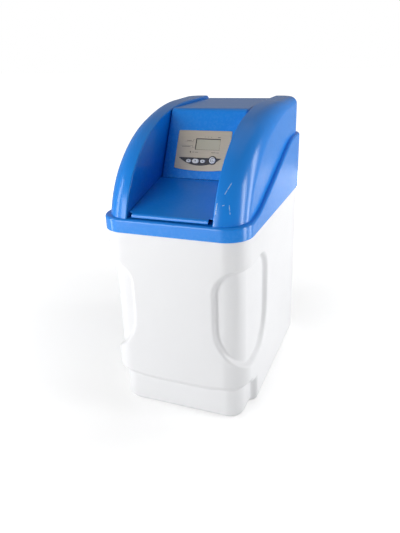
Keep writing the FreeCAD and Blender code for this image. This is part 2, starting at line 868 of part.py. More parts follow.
plate_front = S.plate_thickness - S.plate_seat
band_front = plate_front + S.surround_thickness
key_front = band_front + S.button_proud
plate = on_panel(new_body("plate"))
extrude(plate, "plate_pad", "Pad", "XY_Plane", [plate_outline(0)], -S.plate_seat, S.plate_thickness)
window = rectangle((S.screen_left, S.screen_right), (S.screen_foot, S.screen_top))
extrude(plate, "plate_holes", "Pocket", "XY_Plane",
        key_outlines(S.button_gap) + [window, ((S.led_x, S.led_v), S.led_radius + 0.1)],
        -S.plate_seat - 1, S.plate_thickness + 2)
node(plate, "faceplate")

band = [(S.band_left, S.band_top), (S.band_right, S.band_top, S.band_bow_radius, 1)]
surround = fuse("surround", [
    panel_prism("surround_band", [band], plate_front, band_front),
    panel_prism("surround_ring", [((S.round_x, S.round_v), S.ring_radius)], plate_front, band_front),
])
key_holes = panel_prism("key_holes", key_outlines(S.button_gap), plate_front - 1, band_front + 1)
node(cut("surround_cut", surround, [key_holes]), "key_surround")

screen = on_panel(new_body("screen"))
screen_back = rectangle((S.screen_left - 2, S.screen_right + 2), (S.screen_foot - 2, S.screen_top + 2))
screen_face = rectangle((S.screen_left + 0.1, S.screen_right - 0.1), (S.screen_foot + 0.1, S.screen_top - 0.1))
extrude(screen, "screen_block", "Pad", "XY_Plane", [screen_back], gap - S.board_depth, S.board_depth - gap - 1.5)
extrude(screen, "screen_front", "Pad", "XY_Plane", [screen_face], -1.5, 0.8)
node(screen, "display_screen")
node(panel_prism("led", [((S.led_x, S.led_v), S.led_radius)], gap - S.board_depth, plate_front + 0.3), "status_led")

key_back = -S.plate_seat - gap - 1.5
for key in list(keys) + ["regenerate"]:
    outline = key_outline(key, 0) if key in keys else ((S.round_x, S.round_v), S.round_button_radius)
    flange = key_outline(key, 1.2) if key in keys else ((S.round_x, S.round_v), S.round_button_radius + 1.2)
    body = on_panel(new_body("key_" + key))
    extrude(body, "flange_" + key, "Pad", "XY_Plane", [flange], key_back, 1.5)
    extrude(body, "stem_" + key, "Pad", "XY_Plane", [outline], key_back + 1, key_front - key_back - 1)
    node(body, "button_" + key)

case = on_panel(new_body("case"))
case_half = S.case_width / 2
case_plan = rectangle((-case_half, case_half), (S.case_foot, S.case_top))
case_space = rectangle((S.case_wall - case_half, case_half - S.case_wall),
                       (S.case_foot + S.case_wall, S.case_top - S.case_wall))
ears = rectangle((-boss_x - 5, boss_x + 5), (boss_v - 5, boss_v + 5))
pegs = [((x, v), 3) for x in (-48, 48) for v in (36, 94)]
extrude(case, "case_box", "Pad", "XY_Plane", [case_plan], -S.case_depth, S.case_depth - wall - gap)
extrude(case, "case_ears", "Pad", "XY_Plane", [ears], -10.3, 2)
extrude(case, "case_void", "Pocket", "XY_Plane", [case_space], S.case_wall - S.case_depth, S.case_depth)
extrude(case, "case_pegs", "Pad", "XY_Plane", pegs, -S.case_depth + 1, S.case_depth - 1 - S.board_depth - 1.9)
extrude(case, "case_holes", "Pocket", "XY_Plane", [((-boss_x, boss_v), 1.6), ((boss_x, boss_v), 1.6)], -12, 5)
node(case, "controller_case")
board = rectangle((6 - case_half, case_half - 6), (S.case_foot + 4, S.case_top - 4))
node(panel_prism("board", [board], -S.board_depth - S.board_thickness, -S.board_depth), "circuit_board")
switch_spots = [(S.down_x, S.button_v), (S.set_x, S.button_v), (S.up_x, S.button_v), (S.round_x, S.round_v)]
switches = [rectangle((x - 3, x + 3), (v - 3, v + 3)) for x, v in switch_spots]
plungers = [((x, v), 1.7) for x, v in switch_spots]
node(fuse("switch_set", [
    panel_prism("switch_bases", switches, -S.board_depth, 3.6 - S.board_depth),
    panel_prism("switch_plungers", plungers, 3 - S.board_depth, -4.6),
]), "key_switches")
node(fuse("case_screw_set", [
    panel_prism("case_screw_heads", [((-boss_x, boss_v), 2.8), ((boss_x, boss_v), 2.8)], -12.3, -10.3),
    panel_prism("case_screw_shanks", [((-boss_x, boss_v), 1.4), ((boss_x, boss_v), 1.4)], -10.4, -4),
]), "case_screws")


# Salt lid with its two hinge pins

lid_nose_z = lid_height(-S.lid_front)
nose_y = -S.lid_front - S.lid_nose
nose_round = S.lid_nose + 0.4
inner_round = nose_round - wall
lid_profile = [
    (-S.lid_rear, S.lid_rear_top),
    (-S.lid_front, lid_nose_z),
    (nose_y, lid_nose_z - 5, nose_round, 1),
    (nose_y, S.lid_lip_foot),
    (nose_y + wall, S.lid_lip_foot),
    (nose_y + wall, lid_nose_z - 5),
    (wall / 4 - S.lid_front, lid_height(wall / 4 - S.lid_front, wall), inner_round, -1),
    (-S.lid_rear, lid_height(-S.lid_rear, wall)),
]
lid_half = S.channel_half - S.lid_side_gap
lid_plate = prism("lid_plate", "YZ_Plane", [lid_profile], 0, lid_half * 2, both=True)
boss_start = lid_half - 10.7
lid_boss = rod("lid_boss", (boss_start, *hinge), "X", 4.6, 10.7)
lid_pin = rod("lid_pin", (S.channel_half + 4 - S.pin_length, *hinge), "X", S.pin_radius, S.pin_length)
lid_notch = block("lid_notch", (S.channel_half - S.lip_notch, S.channel_half + 1), (-S.lid_front - 10, 4 - S.lid_front),
                  (S.lid_lip_foot - 1, S.lid_rear_top))
lid_right = fuse("lid_hinge", [lid_boss, lid_pin])
node(cut("lid", fuse("lid_whole", [lid_plate, lid_right, mirrored("lid_hinge_left", lid_right)]),
         [lid_notch, mirrored("lid_notch_left", lid_notch)]), "salt_lid")


# Resin vessel on the cabinet's floor, with the resin and the tube inside

vessel_place = (0, S.vessel_y, 0)
boot_foot = S.cabinet_floor + gap
vessel_foot = boot_foot + S.boot_wall + gap
bore = S.vessel_radius - S.vessel_wall
neck_foot = S.neck_top - S.neck_height


def vessel_base(inset):
    """The foot's three corners, moved inward so that its two cones stay parallel."""
    return [
        (S.vessel_foot_half - inset * 0.28, vessel_foot + inset),
        (S.vessel_knee_radius - inset * 0.8, vessel_foot + S.vessel_knee_rise + inset * 0.68),
        (S.vessel_radius - inset, vessel_foot + S.vessel_foot_rise + inset * 0.2),
    ]


node(turned("vessel_body", [(0, vessel_foot)] + vessel_base(as_size(0)) + [
    (S.vessel_radius, S.vessel_shoulder),
    (S.neck_radius, neck_foot, S.dome_radius, 1),
    (S.neck_radius, S.neck_top),
    (S.neck_bore, S.neck_top),
    (S.neck_bore, neck_foot - 1),
    (S.dome_inner_radius, S.vessel_shoulder + S.dome_inner_rise),
    (bore, S.vessel_shoulder),
] + vessel_base(S.vessel_wall)[::-1] + [(0, vessel_foot + S.vessel_wall)], vessel_place), "vessel")
boot_radius = S.vessel_radius + gap
node(turned("boot", [
    (0, boot_foot), (boot_radius + S.boot_wall, boot_foot), (boot_radius + S.boot_wall, boot_foot + S.boot_height),
    (boot_radius, boot_foot + S.boot_height), (boot_radius, boot_foot + S.boot_wall), (0, boot_foot + S.boot_wall),
], vessel_place), "vessel_boot")

tube_bore = S.riser_radius + gap
resin_foot = vessel_foot + S.vessel_wall + gap
basket_radius, basket_top = 22, resin_foot + 38
node(turned("resin", [
    (basket_radius + gap, resin_foot),
    *vessel_base(S.vessel_wall + gap),
    (bore - gap, S.resin_top),
    (tube_bore, S.resin_top),
    (tube_bore, basket_top + gap),
    (basket_radius + gap, basket_top + gap),
], vessel_place), "resin_bed")
node(turned("basket", [
    (0, resin_foot), (basket_radius, resin_foot), (basket_radius, basket_top), (tube_bore, basket_top),
    (tube_bore, basket_top - 10), (12, basket_top - 10), (12, basket_top - 13), (19, basket_top - 13),
    (19, resin_foot + 3), (0, resin_foot + 3),
], vessel_place), "lower_basket")
riser_top = S.neck_top - 4
node(turned("riser", [
    (S.riser_radius - S.riser_wall, basket_top - 9.7), (S.riser_radius, basket_top - 9.7),
    (S.riser_radius, riser_top), (S.riser_radius - S.riser_wall, riser_top),
], vessel_place), "riser_tube")
spigot_foot = S.neck_top - 22
spigot_radius = S.neck_bore - gap
node(turned("strainer", [
    (tube_bore, spigot_foot - 22), (26, spigot_foot - 22), (26, spigot_foot - gap), (tube_bore, spigot_foot - gap),
], vessel_place), "upper_basket")
seal_foot = spigot_foot + 6
node(turned("seal_ring", [
    (spigot_radius - 3, seal_foot + 0.2), (S.neck_bore - 0.05, seal_foot + 0.2),
    (S.neck_bore - 0.05, seal_foot + 3.8), (spigot_radius - 3, seal_foot + 3.8),
], vessel_place), "neck_seal")


# Valve on the vessel's neck

flange_top = S.neck_top + S.valve_flange
chamber_start = S.vessel_y - S.chamber_front
chamber_length = S.chamber_front + S.chamber_back
recess = S.disc_radius + 1
port_end = S.vessel_y + S.port_reach
drain_start = S.vessel_y + 42
brine_z, brine_y = S.chamber_z - 16, S.vessel_y + 5
post_spots = [(-36, S.chamber_z - 36), (36, S.chamber_z - 36), (-36, S.chamber_z + 36)]
screw_ring = 38 / math.sqrt(2)
bonnet_spots = [(x, S.chamber_z + z) for x in (-screw_ring, screw_ring) for z in (-screw_ring, screw_ring)]
valve_parts = [
    turned("valve_stem", [
        (tube_bore, spigot_foot), (spigot_radius, spigot_foot), (spigot_radius, seal_foot),
        (spigot_radius - 3.2, seal_foot), (spigot_radius - 3.2, seal_foot + 4), (spigot_radius, seal_foot + 4),
        (spigot_radius, S.neck_top), (S.valve_flange_radius, S.neck_top), (S.valve_flange_radius, flange_top),
        (S.column_radius, flange_top), (S.column_radius, S.port_z + 10), (0, S.port_z + 10),
        (0, riser_top + gap), (tube_bore, riser_top + gap),
    ], vessel_place),
    rod("chamber", (0, chamber_start, S.chamber_z), "Y", S.chamber_radius, chamber_length),
    rod("drain_boss", (0, S.vessel_y, S.drain_z), "Y", 10, 42),
    rod("injector_boss", (30, brine_y, brine_z), "X", 13, 32),
    rod("brine_boss", (-60, brine_y, brine_z), "X", 9, 30),
]
for side, x in (("left", -S.port_x), ("right", S.port_x)):
    valve_parts.append(rod("port_" + side, (x, S.vessel_y, S.port_z), "Y", S.port_radius, S.port_reach))
for i, (x, z) in enumerate(post_spots):
    valve_parts.append(rod("ear_" + str(i), (x, chamber_start, z), "Y", 9, chamber_length - 10))
valve_holes = [
    rod("disc_recess", (0, chamber_start - 1, S.chamber_z), "Y", recess, 13),
    rod("port_bore_left", (-S.port_x, S.vessel_y, S.port_z), "Y", S.port_bore, S.port_reach + 1),
    rod("port_bore_right", (S.port_x, S.vessel_y, S.port_z), "Y", S.port_bore, S.port_reach + 1),
    rod("drain_bore", (0, S.vessel_y + 20, S.drain_z), "Y", S.hose_bore, 30),
    rod("brine_bore", (-61, brine_y, brine_z), "X", S.tube_radius + 0.1, 14),
]
for i, (x, z) in enumerate(post_spots):
    valve_holes.append(rod("ear_hole_" + str(i), (x, chamber_start - 1, z), "Y", 1.8, 11))
for i, (x, z) in enumerate(bonnet_spots):
    valve_holes.append(rod("chamber_hole_" + str(i), (x, chamber_start - 1, z), "Y", 2.1, 11))
node(cut("valve", fuse("valve_whole", valve_parts), valve_holes), "valve_body")

disc_back = chamber_start + 12
disc_front = disc_back - 8 - S.disc_gap
port_slots = [rod("disc_port_" + str(i), (x, chamber_start - 10, S.chamber_z + z), "Y", 5, 30)
              for i, (x, z) in enumerate(((-17, 0), (17, 0), (0, 17)))]
fixed = rod("fixed_plate", (0, disc_back - 8, S.chamber_z), "Y", S.disc_radius, 8)
moving = rod("moving_plate", (0, disc_front - S.disc_thickness, S.chamber_z), "Y", S.disc_radius, S.disc_thickness)
node(cut("fixed_ported", fixed, port_slots), "fixed_disc")
node(cut("moving_ported", moving, [port_slots[2]]), "moving_disc")

spindle_bore = S.spindle_radius + 0.06
bonnet_front = chamber_start - S.bonnet_thickness
bonnet = rod("bonnet_plate", (0, bonnet_front, S.chamber_z), "Y", S.chamber_radius, S.bonnet_thickness)
bonnet_holes = [
    rod("bonnet_recess", (0, disc_front - S.disc_thickness - 0.2, S.chamber_z), "Y", recess, 8),
    rod("bonnet_bore", (0, bonnet_front - 1, S.chamber_z), "Y", spindle_bore, S.bonnet_thickness + 2),
    rod("seal_seat", (0, bonnet_front - 1, S.chamber_z), "Y", 11, 4),
]
for i, (x, z) in enumerate(bonnet_spots):
    bonnet_holes.append(rod("bonnet_hole_" + str(i), (x, bonnet_front - 1, z), "Y", 2.1, S.bonnet_thickness + 2))
node(cut("bonnet_cut", bonnet, bonnet_holes), "bonnet")
node(screws("bonnet_screw_set", bonnet_spots, "Y", bonnet_front, S.bonnet_thickness + 8, 1.9, 3.6, 3, -1),
     "bonnet_screws")
seal = rod("seal_outside", (0, bonnet_front + 0.1, S.chamber_z), "Y", 10.9, 2.8)
seal_bore = rod("seal_bore", (0, bonnet_front - 1, S.chamber_z), "Y", spindle_bore, 6)
node(cut("seal", seal, [seal_bore]), "spindle_seal")


# Gears, bracket and motor that turn the disc

gear_back = S.vessel_y - S.gear_back
gear_front = gear_back - S.gear_width
centres = S.gear_module * (S.gear_teeth + S.pinion_teeth) / 2
pinion_x = centres * cosine(S.pinion_bearing)
pinion_z = S.chamber_z + centres * sine(S.pinion_bearing)


def tooth_outline(teeth, phase, x, z):
    """Involute teeth at 20 degrees, the first tooth in the middle of the phase angle."""
    module, pitch = SIZES["gear_module"], SIZES["gear_module"] * teeth / 2
    base, tip, root = pitch * math.cos(math.radians(20)), pitch + 0.9 * module, pitch - 1.25 * module
    half = math.pi / (2 * teeth) - SIZES["gear_backlash"] / (4 * pitch)
    start = math.tan(math.radians(20)) - math.radians(20)
    flank = [(root, half + start)]
    for radius in (max(base, root), (pitch + max(base, root)) / 2, pitch, tip):
        lean = math.acos(min(base / radius, 1))
        flank.append((radius, half + start - math.tan(lean) + lean))
    points = []
    for tooth in range(teeth):
        middle = math.radians(phase + 360 * tooth / teeth)
        for radius, away in [(radius, -away) for radius, away in flank] + flank[::-1]:
            points.append((x + radius * math.cos(middle + away), z + radius * math.sin(middle + away)))
    return points


def toothed(name, teeth, phase, x, z, front, width):
    """A toothed disc: its outline is computed, its width and place follow the sheet."""
    corners = [Vector(px, 0, pz) for px, pz in tooth_outline(teeth, phase, 0, 0)]
    outline = doc.addObject("Part::Feature", name + "_outline")
    outline.Shape = Part.Face(Part.makePolygon(corners + corners[:1]))
    feature = doc.addObject("Part::Extrusion", name)
    feature.Base = outline
    feature.DirMode = "Custom"
    feature.Dir = Vector(0, 1, 0)
    feature.Solid = True
    bind(feature, "LengthFwd", width)
    bind_place(feature, (x, front, z))
    return feature


spindle_front = gear_front - 2
hub = rod("gear_hub", (0, gear_back - 1, S.chamber_z), "Y", 13, 4)
gear_teeth = toothed("gear_rim", SIZES["gear_teeth"], 0, 0, S.chamber_z, gear_front, S.gear_width)
gear_holes = [rod("gear_bore", (0, gear_front - 1, S.chamber_z), "Y", S.spindle_radius, S.gear_width + 6)]
for i, turn in enumerate(range(30, 390, 60)):
    x, z = 24 * math.cos(math.radians(turn)), 24 * math.sin(math.radians(turn))
    gear_holes.append(rod("gear_window_" + str(i), (x, gear_front - 1, S.chamber_z + z), "Y", 7, S.gear_width + 2))
node(cut("gear_wheel", fuse("gear_whole", [gear_teeth, hub]), gear_holes), "drive_gear")
node(rod("spindle_rod", (0, spindle_front, S.chamber_z), "Y", S.spindle_radius,
         disc_front - S.disc_thickness - spindle_front), "spindle")

plate_back = spindle_front - 2.5
bracket_front = plate_back - 2.5
motor_front = bracket_front - gap - S.motor_length
pinion_teeth = toothed("pinion_rim", SIZES["pinion_teeth"], 16, pinion_x, pinion_z, gear_front - 0.5, 8)
shaft = rod("pinion_shaft", (pinion_x, motor_front + S.motor_length - 8, pinion_z), "Y", 2.5, 24)
node(fuse("pinion", [pinion_teeth, shaft]), "motor_pinion")
motor = rod("motor_can", (pinion_x, motor_front, pinion_z), "Y", S.motor_radius, S.motor_length)
motor_bore = rod("motor_bore", (pinion_x, motor_front + S.motor_length - 9, pinion_z), "Y", 2.56, 10)
node(cut("motor", motor, [motor_bore]), "drive_motor")
bracket_plate = prism("bracket_plate", "XZ_Plane", [[
    (-46, S.chamber_z - 46), (46, S.chamber_z - 46), (60, S.chamber_z + 16), (60, S.chamber_z + 56),
    (14, S.chamber_z + 56), (-46, S.chamber_z + 46),
]], bracket_front, 2.5)
bracket_posts = [rod("post_" + str(i), (x, bracket_front + 1, z), "Y", 5, chamber_start - bracket_front - 1)
                 for i, (x, z) in enumerate(post_spots)]
bracket_holes = [rod("post_hole_" + str(i), (x, bracket_front - 1, z), "Y", 1.8, chamber_start - bracket_front + 2)
                 for i, (x, z) in enumerate(post_spots)]
bracket_holes.append(rod("shaft_hole", (pinion_x, bracket_front - 1, pinion_z), "Y", 4, 5))
bracket_holes.append(rod("spindle_window", (0, bracket_front - 1, S.chamber_z), "Y", 14, 5))
node(cut("bracket", fuse("bracket_whole", [bracket_plate] + bracket_posts), bracket_holes), "gear_bracket")
node(screws("bracket_screw_set", post_spots, "Y", bracket_front, chamber_start - bracket_front + 8,
            1.6, 3.4, 2.5, -1), "bracket_screws")


# Unions: a nut on a threaded pipe end draws a collar against a washer

def hex_nut(name, x, z, start, length, thread_bore, thread_length, neck_hole):
    outside = prism(name + "_hex", "XZ_Plane", [hexagon(x, z, S.nut_radius)], start, length)
    wide = rod(name + "_wide", (x, as_size(start) - 1, z), "Y", thread_bore, thread_length + 1)
    narrow = rod(name + "_narrow", (x, as_size(start), z), "Y", neck_hole, length + 1)
    return cut(name, outside, [wide, narrow])


def washers(name, start, radius, hole):
    parts = []
    for side, x in (("left", -S.port_x), ("right", S.port_x)):
        ring = rod(name + "_ring_" + side, (x, start, S.port_z), "Y", radius, S.washer)
        opening = rod(name + "_hole_" + side, (x, as_size(start) - 1, S.port_z), "Y", hole, S.washer + 2)
        parts.append(cut(name + "_" + side, ring, [opening]))
    return fuse(name, parts)


thread_bore = S.port_radius + 0.2
neck_radius = S.port_radius - 1.5
bypass_start = port_end + S.washer
bypass_stop = cover_reach + S.bypass_end
plug_y = cover_reach + S.plug_setback
sides = {"outlet": -S.port_x, "inlet": S.port_x}
for side, x in sides.items():
    port_nut = hex_nut("port_nut_" + side, x, S.port_z, port_end - 10, 24, thread_bore,
                       18 + gap, neck_radius + 0.3)
    node(port_nut, side + "_port_nut")
node(washers("port_washer_set", port_end, S.port_radius - 0.2, S.port_bore), "port_washers")


# Bypass valve behind the cabinet, with two plugs that are turned by hand

housing_foot, housing_top = S.port_z - 25, S.port_z + 23
bypass_parts = [rod("cross_tube", (-S.port_x, plug_y, S.port_z), "X", 13, 2 * S.port_x)]
bypass_holes = [rod("cross_bore", (-S.port_x, plug_y, S.port_z), "X", S.port_bore, 2 * S.port_x)]
for side, x in sides.items():
    bypass_parts += [
        rod("collar_" + side, (x, bypass_start, S.port_z), "Y", S.port_radius, 6),
        rod("pipe_" + side, (x, bypass_start, S.port_z), "Y", neck_radius, plug_y - bypass_start),
        rod("threaded_" + side, (x, plug_y, S.port_z), "Y", S.port_radius, bypass_stop - plug_y),
        rod("housing_" + side, (x, plug_y, housing_foot), "Z", S.plug_radius + 5, housing_top - housing_foot),
    ]
    bypass_holes += [
        rod("pipe_bore_" + side, (x, bypass_start - 1, S.port_z), "Y", S.port_bore, bypass_stop - bypass_start + 2),
        rod("plug_bore_" + side, (x, plug_y, housing_foot + 4), "Z", S.plug_radius + S.plug_clearance,
            housing_top - housing_foot),
    ]
node(cut("bypass", fuse("bypass_whole", bypass_parts), bypass_holes), "bypass_body")

for side, x in sides.items():
    outward = 1 if side == "inlet" else -1
    branch_start = x if side == "inlet" else x - 20
    lever_y = S.lever_length / 2
    solid = fuse("plug_whole_" + side, [
        rod("plug_rod_" + side, (x, plug_y, housing_foot + 4 + gap), "Z", S.plug_radius,
            housing_top - housing_foot - 4 + 1),
        rod("plug_hub_" + side, (x, plug_y, housing_top + gap), "Z", 17, 5),
        block("lever_" + side, (x - 6, x + 6), (plug_y - lever_y, plug_y + lever_y),
              (housing_top + gap + 4, housing_top + gap + 15)),
    ])
    ports = [
        rod("plug_way_" + side, (x, plug_y - 20, S.port_z), "Y", S.port_bore, 40),
        rod("plug_branch_" + side, (branch_start, plug_y, S.port_z), "X", S.port_bore, 20),
    ]
    node(cut("plug_" + side, solid, ports), "bypass_plug_" + side)


# Tails that the house pipes and the hoses go on

tail_start = bypass_stop + S.washer
tail_neck = tail_start + 6
tail_thread = tail_neck + 4 + gap
node(washers("tail_washer_set", bypass_stop, S.port_radius - 0.2, S.port_bore), "tail_washers")
for side, x in sides.items():
    node(hex_nut("tail_nut_" + side, x, S.port_z, bypass_stop - 9.5, 21.5, thread_bore,
                 17.5 + gap, S.thread_radius + 0.3), side + "_tail_nut")
    tail = fuse("tail_whole_" + side, [
        rod("tail_flange_" + side, (x, tail_start, S.port_z), "Y", S.port_radius - 0.2, 6),
        rod("tail_neck_" + side, (x, tail_start, S.port_z), "Y", S.thread_radius - 0.8, 12),
        rod("tail_thread_" + side, (x, tail_thread, S.port_z), "Y", S.thread_radius, S.tail_length),
    ])
    tail_bore = rod("tail_bore_" + side, (x, tail_start - 1, S.port_z), "Y", S.port_bore, S.tail_length + 14)
    node(cut("tail_" + side, tail, [tail_bore]), side + "_tail")
drain_end = cover_reach + 20
drain_barb = 22
drain_pipe = fuse("drain_pipe", [
    rod("drain_run", (0, drain_start, S.drain_z), "Y", S.hose_radius + 0.8, drain_end - drain_barb - drain_start),
    rod("drain_barb", (0, drain_start, S.drain_z), "Y", S.hose_radius, drain_end - drain_start),
])
drain_bore = rod("drain_way", (0, drain_start - 1, S.drain_z), "Y", S.hose_bore, drain_end - drain_start + 2)
node(cut("drain_tube", drain_pipe, [drain_bore]), "drain_tail")


# Brine well with its float and safety valve, and the tube to the valve

well_x, well_y = S.cabinet_wall + S.well_gap + S.well_radius - cabinet_half, S.well_y
well_foot = S.cabinet_floor + gap
well_bore = S.well_radius - S.well_wall
safety_top = S.safety_z + 36
tube_leave = safety_top + 36
rise_per_mm = (S.neck_top - 12 - tube_leave) / math.hypot(24, 88)
crossing = S.well_radius.value * Vector(24, 88, 0).normalize()
well_tube = rod("well_outside", (well_x, well_y, well_foot), "Z", S.well_radius, S.well_top - well_foot)
well_holes = [
    rod("well_inside", (well_x, well_y, well_foot - 1), "Z", well_bore, S.well_top),
    rod("well_inflow_x", (well_x - 40, well_y, well_foot + 14), "X", 5, 80),
    rod("well_inflow_y", (well_x, well_y - 40, well_foot + 14), "Y", 5, 80),
    rod("tube_hole", (well_x + crossing.x, well_y + crossing.y - 9, tube_leave + rise_per_mm * S.well_radius),
        "Y", 7.5, 18),
]
node(cut("well", well_tube, well_holes), "brine_well")
cap_foot = S.well_top + gap
node(turned("cap", [
    (0, cap_foot), (well_bore - gap - 2, cap_foot), (well_bore - gap - 2, cap_foot - 4), (well_bore - gap, cap_foot - 4),
    (well_bore - gap, cap_foot), (S.well_radius + 1.5, cap_foot), (S.well_radius + 1.5, cap_foot + 4),
    (8, cap_foot + 4), (8, cap_foot + 10), (0, cap_foot + 10),
], (well_x, well_y, 0)), "well_cap")

pickup_x, float_x = well_x + 14, well_x - 10
pickup_foot = well_foot + 14
safety = fuse("safety_whole", [
    rod("safety_body", (well_x, well_y, S.safety_z), "Z", 22, 36),
    rod("safety_disc", (well_x, well_y, S.safety_z + 28), "Z", well_bore - gap, 3),
])
safety_holes = [
    rod("pickup_socket", (pickup_x, well_y, S.safety_z - 1), "Z", S.tube_radius + 0.1, 9),
    rod("float_guide", (float_x, well_y, S.safety_z - 1), "Z", 2.06, 34),
    rod("tube_socket", (well_x, well_y, safety_top - 8), "Z", S.tube_radius + 0.1, 9),
]
node(cut("safety", safety, safety_holes), "safety_valve")
node(rod("pickup", (pickup_x, well_y, pickup_foot + 10), "Z", S.tube_radius,
         S.safety_z + 8 - pickup_foot - 10), "pickup_tube")
air_outside = rod("air_outside", (pickup_x, well_y, pickup_foot - 8), "Z", 9, 30)
air_socket = rod("air_socket", (pickup_x, well_y, pickup_foot + 9.5), "Z", S.tube_radius + 0.1, 20)
node(cut("air", air_outside, [air_socket]), "air_check")
float_top = S.float_foot + S.float_height
float_can = rod("float_can", (float_x, well_y, S.float_foot), "Z", S.float_radius, S.float_height)
float_bore = rod("float_bore", (float_x, well_y, S.float_foot - 1), "Z", 2, S.float_height + 2)
node(cut("float_cut", float_can, [float_bore]), "float")
node(rod("rod", (float_x, well_y, S.float_foot - 6), "Z", 2, S.safety_z + 10 - S.float_foot + 6), "float_rod")


def pipe_along(name, corners, bend, radius):
    """A round bar along a line through 3-D corners, each turned with a bend radius."""
    edges = []
    start = corners[0]
    for before, corner, after in zip(corners, corners[1:], corners[2:]):
        inward, outward = (before - corner).normalize(), (after - corner).normalize()
        half = inward.getAngle(outward) / 2
        reach = bend / math.tan(half)
        middle = corner + (inward + outward).normalize() * (bend / math.sin(half) - bend)
        first, last = corner + inward * reach, corner + outward * reach
        edges += [Part.makeLine(start, first), Part.Arc(first, middle, last).toShape()]
        start = last
    edges.append(Part.makeLine(start, corners[-1]))
    ring = Part.Wire(Part.makeCircle(radius, corners[0], corners[1] - corners[0]))
    feature = doc.addObject("Part::Feature", name)
    feature.Shape = Part.Wire(edges).makePipe(Part.Face(ring))
    return feature


tube_start = Vector(well_x.value, well_y.value, safety_top.value - 7)
brine_end = Vector(-50, brine_y.value, brine_z.value)
tube_route = [
    tube_start, Vector(well_x.value, well_y.value, tube_leave.value),
    Vector(well_x.value + 24, well_y.value + 88, SIZES["neck_top"] - 12),
    Vector(well_x.value + 24, brine_end.y, brine_end.z), brine_end,
]
tube_radius = SIZES["tube_radius"]
node(cut("tube", pipe_along("tube_outside", tube_route, 14, tube_radius),
         [pipe_along("tube_inside", tube_route, 14, tube_radius - 1.5)]), "brine_tube")


# Overflow fitting in the back wall of the cabinet

overflow_z = S.overflow_z
wall_out, wall_in = cabinet_reach, cabinet_reach - S.cabinet_wall
spigot = fuse("overflow_whole", [
    rod("overflow_flange", (overflow_x, wall_in - 4.5, overflow_z), "Y", 13, 3),
    rod("overflow_thread", (overflow_x, wall_in - 4.5, overflow_z), "Y", S.overflow_radius, 18.5),
    rod("overflow_barb", (overflow_x, wall_in + 10, overflow_z), "Y", S.hose_radius, 24),
])
overflow_bore = rod("overflow_bore", (overflow_x, wall_in - 6, overflow_z), "Y", S.hose_bore, 45)
node(cut("overflow", spigot, [overflow_bore]), "overflow_spigot")
gasket = rod("gasket_ring", (overflow_x, wall_in - 1.5, overflow_z), "Y", 13, 1.5)
gasket_hole = rod("gasket_hole", (overflow_x, wall_in - 3, overflow_z), "Y", S.overflow_radius + 0.2, 5)
node(cut("gasket", gasket, [gasket_hole]), "overflow_gasket")
overflow_hex = prism("overflow_hex", "XZ_Plane", [hexagon(overflow_x, overflow_z, 13)], wall_out, 6)
overflow_nut_hole = rod("overflow_nut_hole", (overflow_x, wall_out - 1, overflow_z), "Y", S.overflow_radius + 0.1, 8)
node(cut("overflow_ring", overflow_hex, [overflow_nut_hole]), "overflow_nut")


# Checks, then one file for each piece

doc.recompute()
problems = [item.Name for item in doc.Objects if {"Invalid", "Error"} & set(item.State)]
problems += [item.Label for item in NODES if item.Shape.isNull() or not item.Shape.isValid()]
if problems:
    raise RuntimeError("not valid: " + ", ".join(problems))
os.makedirs("parts", exist_ok=True)
for item in NODES:
    item.Shape.exportStep("parts/" + item.Label + ".step")
print(len(NODES), "pieces")
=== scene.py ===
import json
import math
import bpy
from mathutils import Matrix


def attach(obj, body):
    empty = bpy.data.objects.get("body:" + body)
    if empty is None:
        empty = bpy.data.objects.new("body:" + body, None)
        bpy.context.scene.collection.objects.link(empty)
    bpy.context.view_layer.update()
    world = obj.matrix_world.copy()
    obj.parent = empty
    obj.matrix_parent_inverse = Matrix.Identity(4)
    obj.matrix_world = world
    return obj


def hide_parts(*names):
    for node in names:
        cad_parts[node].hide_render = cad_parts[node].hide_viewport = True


bl_info = {
    "name": "Water softener",
    "version": (1, 0, 0),
    "blender": (4, 5, 0),
    "location": "3D view > Sidebar > Softener",
    "description": "Builds a cabinet water softener around its CAD frame",
    "category": "Object",
}

import bmesh
import bpy
from bpy.props import FloatProperty, FloatVectorProperty, PointerProperty
from mathutils import Matrix, Vector

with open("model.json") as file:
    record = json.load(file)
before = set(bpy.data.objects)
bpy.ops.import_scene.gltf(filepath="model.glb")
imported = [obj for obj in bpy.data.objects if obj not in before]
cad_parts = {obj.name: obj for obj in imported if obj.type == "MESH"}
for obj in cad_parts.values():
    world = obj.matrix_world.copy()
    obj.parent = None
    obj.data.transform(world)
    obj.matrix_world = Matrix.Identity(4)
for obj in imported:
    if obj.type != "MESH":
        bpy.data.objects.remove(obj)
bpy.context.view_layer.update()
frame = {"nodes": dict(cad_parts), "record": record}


def length(name, description, value):
    return FloatProperty(name=name, description=description, default=value, min=0.0, subtype="DISTANCE",
                         unit="LENGTH")


def angle(name, description, degrees):
    return FloatProperty(name=name, description=description, default=math.radians(degrees), subtype="ANGLE",
                         unit="ROTATION")


def colour(name, description, value):
    return FloatVectorProperty(name=name, description=description, default=value, size=3, min=0.0, max=1.0,
                               subtype="COLOR")


